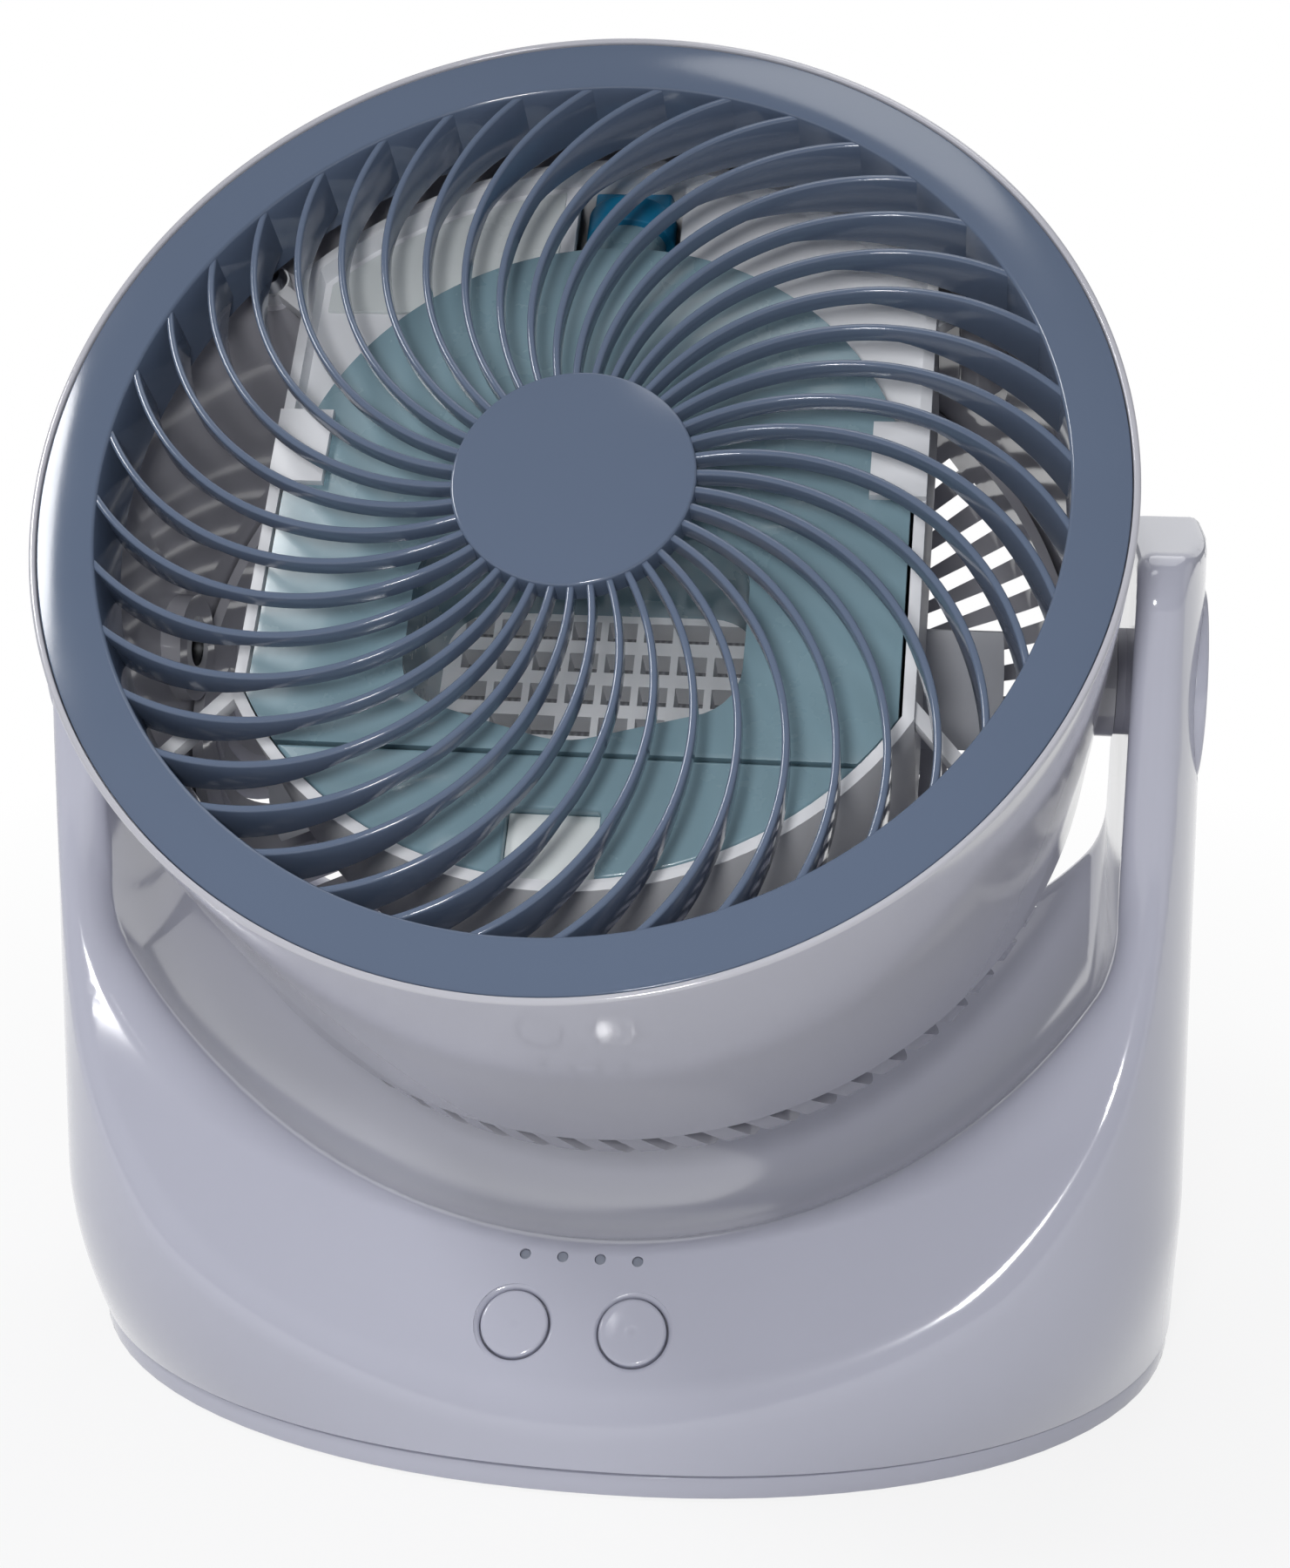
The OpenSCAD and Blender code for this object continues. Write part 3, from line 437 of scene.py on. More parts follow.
def fillet(points, radii, steps=6):
    """Rounds a closed outline's corners, each by its own radius."""
    out, n = [], len(points)
    for i, (p, r) in enumerate(zip(points, radii)):
        p = np.array(p, float)
        if r <= 0:
            out.append(p)
            continue
        a = np.array(points[i - 1], float) - p
        b = np.array(points[(i + 1) % n], float) - p
        la, lb = np.linalg.norm(a), np.linalg.norm(b)
        a, b = a / la, b / lb
        half = math.acos(max(-1.0, min(1.0, float(a @ b)))) / 2
        run = min(r / math.tan(half), la * 0.49, lb * 0.49)
        r = run * math.tan(half)
        centre = p + (a + b) / np.linalg.norm(a + b) * (r / math.sin(half))
        s, e = p + a * run - centre, p + b * run - centre
        turn = math.atan2(s[0] * e[1] - s[1] * e[0], float(s @ e))
        for k in range(steps + 1):
            c, q = math.cos(turn * k / steps), math.sin(turn * k / steps)
            out.append(centre + np.array([s[0] * c - s[1] * q, s[0] * q + s[1] * c]))
    return out


def revolve(profile, steps=240):
    """Turns a closed outline of (radius, z) about z. An outline that ends on the axis is capped there."""
    profile = [tuple(p) for p in profile]
    on_axis = [abs(p[0]) < 1e-6 for p in profile]
    verts, rows = [], []
    for p, axis in zip(profile, on_axis):
        if axis:
            rows.append([len(verts)] * steps)
            verts.append((0.0, 0.0, p[1]))
        else:
            rows.append([len(verts) + k for k in range(steps)])
            for k in range(steps):
                t = 2 * math.pi * k / steps
                verts.append((p[0] * math.cos(t), p[0] * math.sin(t), p[1]))
    faces = []
    for i in range(len(profile)):
        j = (i + 1) % len(profile)
        if on_axis[i] and on_axis[j]:
            continue
        for k in range(steps):
            l = (k + 1) % steps
            ring = []
            for v in (rows[i][k], rows[i][l], rows[j][l], rows[j][k]):
                if v not in ring:
                    ring.append(v)
            faces.append(ring)
    return np.array(verts), faces


def join_parts(parts):
    """Several (verts, faces) as one."""
    verts, faces, base = [], [], 0
    for v, f in parts:
        verts.append(np.asarray(v, float))
        faces += [[i + base for i in face] for face in f]
        base += len(v)
    return np.vstack(verts), faces


def rod(a, b, r, steps=48):
    """A closed cylinder from point a to point b."""
    a, b = np.array(a, float), np.array(b, float)
    d = (b - a) / np.linalg.norm(b - a)
    u = np.cross(d, [0, 0, 1.0] if abs(d[2]) < 0.9 else [1.0, 0, 0])
    u /= np.linalg.norm(u)
    w = np.cross(d, u)
    t = np.arange(steps) * 2 * math.pi / steps
    ring = np.outer(np.cos(t), u) * r + np.outer(np.sin(t), w) * r
    verts = np.vstack([a + ring, b + ring])
    faces = [[k, (k + 1) % steps, steps + (k + 1) % steps, steps + k] for k in range(steps)]
    faces += [list(range(steps))[::-1], list(range(steps, 2 * steps))]
    return verts, faces


def block(lo, hi):
    """A closed box."""
    x = [lo, hi]
    verts = [(x[i & 1][0], x[(i >> 1) & 1][1], x[(i >> 2) & 1][2]) for i in range(8)]
    faces = [[0, 2, 3, 1], [4, 5, 7, 6], [0, 1, 5, 4], [2, 6, 7, 3], [0, 4, 6, 2], [1, 3, 7, 5]]
    return np.array(verts, float), faces


# ---- the stand's skin


def meet(a, b, r):
    """Where two solids overlap, with a rounded edge of radius r. Negative is inside."""
    u, v = np.maximum(r + a, 0), np.maximum(r + b, 0)
    return np.minimum(-r, np.maximum(a, b)) + np.hypot(u, v)


def block_side(x, y, z):
    """Distance outside the stand's upright sides."""
    t = np.clip((z - PLATE_TOP) / (BELLY_H + 6 - PLATE_TOP), 0, 1)
    full = 1 - (1 - t) ** 2
    rise = np.clip((z - BELLY_H) / (ARM_TOP - 4 - BELLY_H), 0, 1)
    lean = FOOT_LEAN * t + (SIDE_LEAN - FOOT_LEAN) * rise
    hw = SIDE_HW - lean
    length = np.where(y < WIDE_BACK, FRONT_LEN - 0.7 * lean, REAR_LEN)
    u, v = np.abs(x) / hw, np.abs(y - WIDE_BACK) / length
    rad = np.hypot(u, v) + 1e-9
    c, s = u / rad, v / rad

    def reach(n):
        """The outline's radius. It is an ellipse at n = 2, and squarer above."""
        return (c**n + s**n) ** (-1 / n)

    front = reach(FOOT_SQUARE) * (1 - full) + reach(BELLY_SQUARE) * full
    r = np.where(y < WIDE_BACK, front, reach(REAR_SQUARE))
    # The radius overstates the distance where the outline runs aslant
    return np.hypot(x, y - WIDE_BACK) * (1 - r / rad) * 0.92


def front_hollow(x, y, z):
    """Distance inside the funnel in front of the cradle. Negative is in the open."""
    dy, dz = y + LIP_FRONT, z - LIP_Z
    c, s = math.cos(FUNNEL_TILT), math.sin(FUNNEL_TILT)
    along = -dy * c + dz * s
    up = dy * s + dz * c - FUNNEL_R
    angle = PANEL_SLOPE + FUNNEL_TILT
    cone = (np.hypot(x, up) - (FUNNEL_R + along * math.tan(angle))) * math.cos(angle)
    return meet(cone, y + ARM_FRONT, FUNNEL_ROUND)


def cradle_hollow(x, y, z):
    """Distance inside the bowl between the arms, which holds the head."""
    low = np.minimum(z - AXIS_H, 0)
    bowl = np.sqrt(x * x + y * y + low * low) - BOWL_R
    return meet(bowl, np.abs(x) - ARM_IN, BOWL_ROUND)


def back_hollow(x, y, z):
    """Distance behind the arms' backs, which sweep out to the rear wall below."""
    low = AXIS_H - math.sqrt(BOWL_R**2 - REAR_Y**2) + BACK_FOOT
    f = np.clip((z - low) / (ARM_TOP - low), 0, 1)
    span = REAR_Y + 2 - ARM_BACK
    edge = ARM_BACK + span * (1 - f) ** BACK_CURVE
    slope = BACK_CURVE * span * (1 - f) ** (BACK_CURVE - 1) / (ARM_TOP - low)
    return (edge - y) / np.sqrt(1 + slope * slope)


def stand_skin(sizes, t, floor):
    """The stand's solid, drawn in by t."""

    def f(x, y, z):
        face = meet(z - ARM_TOP, -front_hollow(x, y, z), sizes.arm_round * 1000)
        face = meet(face, -back_hollow(x, y, z), sizes.arm_round * 1000)
        low = np.clip((CREASE_TOP - z) / (CREASE_TOP - CREASE_FOOT), 0, 1)
        crease = (sizes.arm_crease + (sizes.crease_round - sizes.arm_crease) * low) * 1000
        body = meet(block_side(x, y, z), face, crease)
        climb = np.clip((z - LIP_Z) / SHOULDER_RISE, 0, 1)
        climb = climb * np.clip((SHOULDER_TOP - z) / SHOULDER_FADE, 0, 1)
        smooth = climb * climb * (3 - 2 * climb)
        lip = sizes.lip_round + (sizes.shoulder_round - sizes.lip_round) * smooth
        body = meet(body, -cradle_hollow(x, y, z), lip * 1000)
        return np.maximum(body + t, floor - z)

    return f


def skin(f, lo, hi, step):
    """Walks a grid of boxes over f = 0, then slides every point onto it."""
    axes = [np.arange(a, b + step, step) for a, b in zip(lo, hi)]
    grid = np.meshgrid(*axes, indexing="ij")
    field = f(*grid)
    shape = np.array(field.shape)
    cells = shape - 1
    total = int(np.prod(cells))
    sums, count, quads = np.zeros((total, 3)), np.zeros(total), []
    for axis in range(3):
        a = np.take(field, range(0, shape[axis] - 1), axis)
        b = np.take(field, range(1, shape[axis]), axis)
        at = np.argwhere((a < 0) != (b < 0))
        va, vb = a[tuple(at.T)], b[tuple(at.T)]
        pos = at.astype(float)
        pos[:, axis] += va / (va - vb)
        u, v = (axis + 1) % 3, (axis + 2) % 3
        around = []
        ok = np.ones(len(at), bool)
        for du, dv in ((0, 0), (1, 0), (1, 1), (0, 1)):
            c = at.copy()
            c[:, u] -= du
            c[:, v] -= dv
            inside = ((c >= 0) & (c < cells)).all(1)
            flat = np.where(inside, (c[:, 0] * cells[1] + c[:, 1]) * cells[2] + c[:, 2], 0)
            for k in range(3):
                sums[:, k] += np.bincount(flat[inside], pos[inside, k], total)
            count += np.bincount(flat[inside], minlength=total)
            around.append(flat)
            ok &= inside
        ring = np.stack(around, 1)[ok]
        back = (va >= 0)[ok]
        ring[back] = ring[back][:, ::-1]
        quads.append(ring)
    quads = np.vstack(quads)
    used = np.unique(quads)
    index = np.zeros(total, int)
    index[used] = np.arange(len(used))
    p = sums[used] / count[used][:, None] * step + np.array(lo)
    h = 0.05
    for _ in range(4):
        value = f(*p.T)
        grad = np.stack(
            [(f(*(p + h * e).T) - f(*(p - h * e).T)) / (2 * h) for e in np.eye(3)], 1
        )
        move = grad * (value / np.maximum((grad**2).sum(1), 1e-3))[:, None]
        size = np.linalg.norm(move, axis=1, keepdims=True)
        p = p - move * np.minimum(1, 0.4 * step / np.maximum(size, 1e-9))
    return p, index[quads]


# ---- node trees


def new_tree(name, ints=(), floats=(), vectors=()):
    """An empty tree of geometry nodes with named inputs, a place and a finish among them."""
    nt = bpy.data.node_groups.new(name, "GeometryNodeTree")
    inputs = {"Geometry": "Geometry"}
    inputs.update(dict.fromkeys(ints, "Int"))
    inputs.update(dict.fromkeys(floats, "Float"))
    inputs.update(dict.fromkeys((*vectors, "Turn", "Shift"), "Vector"))
    inputs["Finish"] = "Material"
    for label, kind in inputs.items():
        nt.interface.new_socket(label, in_out="INPUT", socket_type="NodeSocket" + kind)
    nt.interface.new_socket("Geometry", in_out="OUTPUT", socket_type="NodeSocketGeometry")
    return nt, nt.nodes.new("NodeGroupInput").outputs


def geo(nt, kind, links=(), **settings):
    """The first output of a geometry node."""
    return node_in(nt, "GeometryNode" + kind, links, **settings).outputs[0]


def combine(nt, operation, parts, base=None):
    """A base less other parts, or all parts as one."""
    n = node_in(nt, "GeometryNodeMeshBoolean", operation=operation, solver="EXACT")
    if base is not None:
        nt.links.new(base, n.inputs["Mesh 1"])
    for part in parts:
        nt.links.new(part, n.inputs["Mesh 2"])
    return n.outputs["Mesh"]


def set_round(nt, shape, count, first=0.0):
    """Instances of a shape, turned evenly about z."""
    step = calc(nt, "DIVIDE", 2 * math.pi, count)
    nth = calc(nt, "ADD", geo(nt, "InputIndex"), first)
    spin = vector(nt, Z=calc(nt, "MULTIPLY", nth, step))
    points = geo(nt, "Points", {"Count": count})
    return geo(nt, "InstanceOnPoints", {"Points": points, "Instance": shape, "Rotation": spin})


def close_tree(nt, s, geometry):
    """Ends a tree: instances made real, put in their place and given their finish."""
    real = geo(nt, "RealizeInstances", {"Geometry": geometry})
    put = geo(nt, "Transform", {"Geometry": real, "Rotation": s["Turn"], "Translation": s["Shift"]})
    paint = geo(nt, "SetMaterial", {"Geometry": put, "Material": s["Finish"]})
    nt.links.new(paint, nt.nodes.new("NodeGroupOutput").inputs[0])
    return nt


def grow(nt, values, finish, mesh=None, turn=HEAD_TURN, shift=TILT_AXIS):
    """Runs a tree over a mesh with the values given by name, and returns the mesh it makes."""
    values.update({"Turn": turn, "Shift": tuple(shift), "Finish": FINISHES[finish]})
    obj = loose(mesh or bpy.data.meshes.new("seed"))
    mod = obj.modifiers.new("tree", "NODES")
    mod.node_group = nt
    for item in nt.interface.items_tree:
        if item.in_out == "INPUT" and item.name in values:
            mod[item.identifier] = values[item.name]
    return settled(obj, nt.name)


def blade_tree():
    """Swept blades set evenly round the hub, deeper towards the ring."""
    nt, s = new_tree(
        "grille_blades", ("Count",),
        ("Arc Radius", "Sweep", "Start Angle", "Thickness", "Depth", "Rounding",
         "Flare Start", "Flare End", "Extra Depth"),
        ("Foot", "Lean"),
    )
    arc = geo(nt, "CurveArc", {
        "Resolution": 40, "Radius": s["Arc Radius"],
        "Start Angle": s["Start Angle"], "Sweep Angle": s["Sweep"],
    }, mode="RADIUS")
    foot = geo(nt, "Transform", {"Geometry": arc, "Translation": s["Foot"]})
    lean = geo(nt, "Transform", {"Geometry": foot, "Rotation": s["Lean"]})
    upright = geo(nt, "SetCurveNormal", {"Curve": lean}, mode="Z_UP")
    section = geo(nt, "CurvePrimitiveQuadrilateral", {"Width": s["Thickness"], "Height": s["Depth"]})
    soft = geo(nt, "FilletCurve", {"Curve": section, "Radius": s["Rounding"], "Count": 4}, mode="POLY")
    blade = geo(nt, "CurveToMesh", {"Curve": upright, "Profile Curve": soft, "Fill Caps": True})
    at = node_in(nt, "ShaderNodeSeparateXYZ", {"Vector": geo(nt, "InputPosition")}).outputs
    out_r = node_in(nt, "ShaderNodeVectorMath", {0: vector(nt, X=at["X"], Y=at["Y"])}, operation="LENGTH")
    share = node_in(nt, "ShaderNodeMapRange", {
        "Value": out_r.outputs["Value"], "From Min": s["Flare Start"], "From Max": s["Flare End"],
    }).outputs[0]
    down = calc(nt, "MULTIPLY", calc(nt, "MULTIPLY", share, s["Extra Depth"]), -1.0)
    rear = calc(nt, "LESS_THAN", at["Z"], 0.0)
    blade = geo(nt, "SetPosition", {"Geometry": blade, "Selection": rear, "Offset": vector(nt, Z=down)})
    return close_tree(nt, s, set_round(nt, blade, s["Count"]))


def screw_tree():
    """A cross-head screw at each point, its head upwards."""
    nt, s = new_tree("cross_head_screws", (), ("Head Radius", "Head Height", "Shank Radius", "Shank Length"))

    def times(label, factor):
        return calc(nt, "MULTIPLY", s[label], factor)

    dome = geo(nt, "MeshCone", {
        "Vertices": 32, "Side Segments": 1, "Radius Top": times("Head Radius", 0.62),
        "Radius Bottom": s["Head Radius"], "Depth": s["Head Height"],
    })
    slot_len, slot_wide = times("Head Radius", 1.05), times("Head Radius", 0.24)
    cross = []
    for a, b in ((slot_len, slot_wide), (slot_wide, slot_len)):
        bar = geo(nt, "MeshCube", {"Size": vector(nt, X=a, Y=b, Z=s["Head Height"])})
        up = vector(nt, Z=times("Head Height", 0.95))
        cross.append(geo(nt, "Transform", {"Geometry": bar, "Translation": up}))
    head = combine(nt, "DIFFERENCE", cross, dome)
    shank = geo(nt, "MeshCylinder", {"Vertices": 24, "Radius": s["Shank Radius"], "Depth": s["Shank Length"]})
    down = vector(nt, Z=times("Shank Length", -0.5))
    shank = geo(nt, "Transform", {"Geometry": shank, "Translation": down})
    points = geo(nt, "MeshToPoints", {"Mesh": s["Geometry"]})
    whole = combine(nt, "UNION", (head, shank))
    return close_tree(nt, s, geo(nt, "InstanceOnPoints", {"Points": points, "Instance": whole}))


def slot_tree():
    """Two rings of slots cut through a turned cover."""
    nt, s = new_tree(
        "cover_slots", ("Corner Count", "Inner Count"), (),
        ("Corner Size", "Corner At", "Corner Slant", "Inner Size", "Inner At", "Inner Slant"),
    )
    rings = []
    for ring, first in (("Corner", 0.0), ("Inner", 0.5)):
        box = geo(nt, "MeshCube", {"Size": s[ring + " Size"]})
        put = geo(nt, "Transform", {
            "Geometry": box, "Translation": s[ring + " At"], "Rotation": s[ring + " Slant"],
        })
        many = set_round(nt, put, s[ring + " Count"], first)
        rings.append(geo(nt, "RealizeInstances", {"Geometry": many}))
    return close_tree(nt, s, combine(nt, "DIFFERENCE", rings, s["Geometry"]))


def grid_tree():
    """A plate of crossed bars: rows of openings cut through it."""
    nt, s = new_tree("grid_openings", ("Columns", "Rows"), (), ("Field", "Opening", "At"))
    field = node_in(nt, "ShaderNodeSeparateXYZ", {"Vector": s["Field"]}).outputs
    points = geo(nt, "MeshGrid", {
        "Size X": field["X"], "Size Y": field["Y"], "Vertices X": s["Columns"], "Vertices Y": s["Rows"],
    })
    hole = geo(nt, "MeshCube", {"Size": s["Opening"]})
    many = geo(nt, "InstanceOnPoints", {"Points": points, "Instance": hole})
    real = geo(nt, "RealizeInstances", {"Geometry": many})
    there = geo(nt, "Transform", {"Geometry": real, "Translation": s["At"]})
    return close_tree(nt, s, combine(nt, "DIFFERENCE", (there,), s["Geometry"]))


def screws(name, at, place, flip, body, node, head, shank):
    """Cross-head screws at points in a place's own axes, turned over about x by flip.

    Head and shank give a radius and a height or length. HEAD is a place in metres, the others are
    in millimetres.
    """
    seed = bpy.data.meshes.new("seed")
    seed.from_pydata([[v * 0.001 for v in p] for p in at], [], [])
    turn = (place.to_euler("XYZ").x + flip, 0.0, 0.0)
    shift = place.to_translation() * (1.0 if place is HEAD else 0.001)
    mesh = grow(screw_tree(), {
        "Head Radius": head[0] * 0.001, "Head Height": head[1] * 0.001,
        "Shank Radius": shank[0] * 0.001, "Shank Length": shank[1] * 0.001,
    }, "steel", seed, turn, shift)
    show(name, mesh, body, "steel", node, 30)


# ---- operators


class CoolerOperator:
    """What every operator of the cooler shares."""

    bl_options = {"REGISTER"}

    def execute(self, context):
        if not FINISHES:
            make_finishes(context.scene.cooler_colours)
        self.build(context.scene.cooler_sizes)
        return {"FINISHED"}


class COOLER_OT_stand_body(CoolerOperator, bpy.types.Operator):
    """The U-shaped stand with its cradle, panel, lamp holes and pivots"""

    bl_idname = "cooler.stand_body"
    bl_label = "Stand Body"

    def build(self, sizes):
        outer, inside = stand_skin(sizes, 0.0, PLATE_TOP - 2), self.inside(sizes)
        step = sizes.skin_step * 1000
        body = self.shape_of(*skin(outer, SKIN_LOW, SKIN_HIGH, step))
        body = cut(body, self.shape_of(*skin(inside, SKIN_LOW, SKIN_HIGH, step * 2)))
        body = cut(body, solid(block((-130, -130, -9), (130, 130, PLATE_TOP + sizes.seam * 1000))))
        for hole in self.holes():
            body = cut(body, solid(hole))
        body.validate()
        show("stand_body", body, "stand", "stand", "base_body", 50)
        self.shade_as(body, outer)

    @staticmethod
    def inside(sizes):
        """The hollow inside, less the screw posts, the pivots' pads and the board's posts."""
        inner = stand_skin(sizes, SHELL_T, PLATE_TOP - 4)
        c, s = math.cos(PANEL_SLOPE), math.sin(PANEL_SLOPE)

        def f(x, y, z):
            d = inner(x, y, z)
            for px, py in COLUMNS:
                d = np.maximum(d, COLUMN_R - np.hypot(x - px, y - py))
            hub = np.hypot(y, z - AXIS_H)
            d = np.maximum(d, PIN_PAD_R - hub)
            d = np.maximum(d, np.minimum(CAP_PAD_R - hub, np.abs(x) - (CAP_SEAT - 3)))
            dy, dz = y + LIP_FRONT, z - LIP_Z
            up, out = dy * c + dz * s + PANEL_DROP, dz * c - dy * s
            post = BOARD_POST_R - np.hypot(np.abs(x) - BOARD_POST_X, up - BOARD_POST_Y)
            return np.maximum(d, np.minimum(post, out + BOARD_POST_TOP))

        return f

    def holes(self):
        """The bores through the arms, the panel, the underside and the rear."""
        shapes = []
        for s in (-1, 1):
            shapes.append(self.across(s * (ARM_IN - 4), s * (CAP_SEAT + 2), PIN_BORE_R))
            shapes.append(self.across(s * CAP_SEAT, s * (SIDE_HW + 6), CAP_HOLE_R, 96))
            shapes.append(self.button_hole(s * BUTTON_X, BUTTON_Y))
        for i in (-1.5, -0.5, 0.5, 1.5):
            x = i * LAMP_PITCH
            shapes.append(rod(self.on_panel((x, 0, -5)), self.on_panel((x, 0, 6)), LAMP_HOLE_R, 32))
        for x, y in COLUMNS:
            shapes.append(rod((x, y + AXIS_Y, 0), (x, y + AXIS_Y, PLATE_TOP + 12), SCREW_BORE_R, 24))
        back = REAR_Y + AXIS_Y
        shapes.append(rod((0, back - 5, INLET_H), (0, back + 5, INLET_H), INLET_R))
        return shapes

    @staticmethod
    def across(a, b, r, steps=48):
        """A rod along the tilt axis."""
        return rod((a, AXIS_Y, AXIS_H), (b, AXIS_Y, AXIS_H), r, steps)

    @staticmethod
    def on_panel(points):
        """Points of the panel's axes, in the frame's."""
        m = np.array(PANEL)
        return np.asarray(points, float) @ m[:3, :3].T + m[:3, 3]

    def button_hole(self, x, y):
        """A hole whose upper edge is rounded."""
        r, rounding = BUTTON_HOLE_R, 0.9
        soft = [
            (r + rounding * (1 - math.sin(a)), 0.06 - rounding * (1 - math.cos(a)))
            for a in (1.57, 1.2, 0.9, 0.6, 0.3, 0.0)
        ]
        verts, faces = revolve([(0, -5), (r, -5)] + soft + [(r + rounding, 4), (0, 4)], 96)
        return self.on_panel(verts + [x, y, 0]), faces

    @staticmethod
    def shape_of(verts, faces):
        mesh = bpy.data.meshes.new("stand")
        mesh.from_pydata(((verts + [0, AXIS_Y, 0]) * 0.001).tolist(), [], faces.tolist())
        return mesh

    @staticmethod
    def shade_as(mesh, f):
        """Gives the outer skin the normals of its own shape, so that highlights run smoothly."""
        p = np.empty(len(mesh.vertices) * 3, np.float32)
        mesh.vertices.foreach_get("co", p)
        p = p.reshape(-1, 3).astype(float) * 1000 - [0, AXIS_Y, 0]
        steepest = np.stack([f(*(p + e).T) - f(*(p - e).T) for e in np.eye(3) * 0.05], 1)
        steepest /= np.maximum(np.linalg.norm(steepest, axis=1, keepdims=True), 1e-9)
        outer = np.abs(f(*p.T)) < 0.12
        corner = np.empty(len(mesh.loops), np.int32)
        mesh.loops.foreach_get("vertex_index", corner)
        facing = np.empty(len(mesh.polygons) * 3, np.float32)
        mesh.polygons.foreach_get("normal", facing)
        sides = np.empty(len(mesh.polygons), np.int32)
        mesh.polygons.foreach_get("loop_total", sides)
        facing = np.repeat(facing.reshape(-1, 3), sides, 0)
        near = (steepest[corner] * facing).sum(1) > 0.6
        normals = np.where((outer[corner] & near)[:, None], steepest[corner], 0.0)
        mesh.normals_split_custom_set(normals.tolist())


class COOLER_OT_base_plate(CoolerOperator, bpy.types.Operator):
    """The base plate, its feet and its screws"""

    bl_idname = "cooler.base_plate"
    bl_label = "Base Plate"

    def build(self, sizes):
        dress("base_plate_rounded", "base_plate", "stand", "stand", 0.0006, 3)
        dress("feet", "rubber_feet", "stand", "rubber", 0.0002)
        at = [(x, -y, -2.4) for x, y in COLUMNS]
        screws("base_screw_heads", at, BASE, math.pi, "stand", "base_screws", (2.9, 1.6), (1.5, 12.4))
        dress("inlet_socket", "power_inlet", "stand", "black", 0.0002)


class COOLER_OT_controls(CoolerOperator, bpy.types.Operator):
    """The two push buttons, the lamp lenses and the board behind them"""

    bl_idname = "cooler.controls"
    bl_label = "Controls"

    def build(self, sizes):
        for side in ("left", "right"):
            name, node, body = "push_button_" + side, "button_" + side, side + "_button"
            dress(name, node, body, "stand", 0.0007, 4)
        dress("lamp_lenses", "light_pipes", "stand", "lens", 0.00015)
        carry("control_board", "board")
        at = [(s * BOARD_POST_X, -BOARD_POST_Y, 12) for s in (-1, 1)]
        screws("board_screw_heads", at, PANEL, math.pi, "stand", "board_screws", (2.2, 1.2), (1.0, 5.3))
        carry("tact_switches", "black")


class COOLER_OT_pivots(CoolerOperator, bpy.types.Operator):
    """The tilt pivots: caps, washers, pins and clips"""

    bl_idname = "cooler.pivots"
    bl_label = "Pivots"

    def build(self, sizes):
        dress("pivot_covers", "pivot_caps", "stand", "stand", 0.0007, 3)
        carry("pivot_washers", "washer")
        carry("pivot_pins", "steel")
        carry("pivot_clips", "steel")


class COOLER_OT_drum(CoolerOperator, bpy.types.Operator):
    """The drum wall with its rim, side bosses and screw posts"""

    bl_idname = "cooler.drum"
    bl_label = "Drum"

    def build(self, sizes):
        rim, ledge = RIM_R - 1.25, FACE - GRILLE_T
        wall = fillet(
            [(rim, FACE + 0.4), (RIM_R - 0.1, FACE + 0.4), (DRUM_REAR_R, DRUM_END),
             (DRUM_REAR_R - DRUM_T, DRUM_END), (drum_at(ledge) - DRUM_T, ledge), (rim, ledge)],
            [0.3, 0.55, 0.5, 0.2, 0, 0],
        )
        body = solid(revolve(wall, 360))
        adds = [rod((s * 81, 0, 0), (s * RIM_R, 0, 0), BOSS_R, 96) for s in (-1, 1)]
        adds += [rod((x, y, POST_LOW), (x, y, LUG_Z), POST_R) for x, y in TRAY_POSTS]
        for add in adds:
            body = cut(body, solid(add), "UNION")
        bores = [rod((s * 79, 0, 0), (s * 92, 0, 0), BOSS_BORE_R, 64) for s in (-1, 1)]
        bores += [rod((x, y, LUG_Z - 12), (x, y, LUG_Z + 1), SCREW_BORE_R, 24) for x, y in TRAY_POSTS]
        body = cut(body, solid(join_parts(bores)))
        body.transform(HEAD)
        show("drum_wall", body, "head", "drum", "drum", 40)


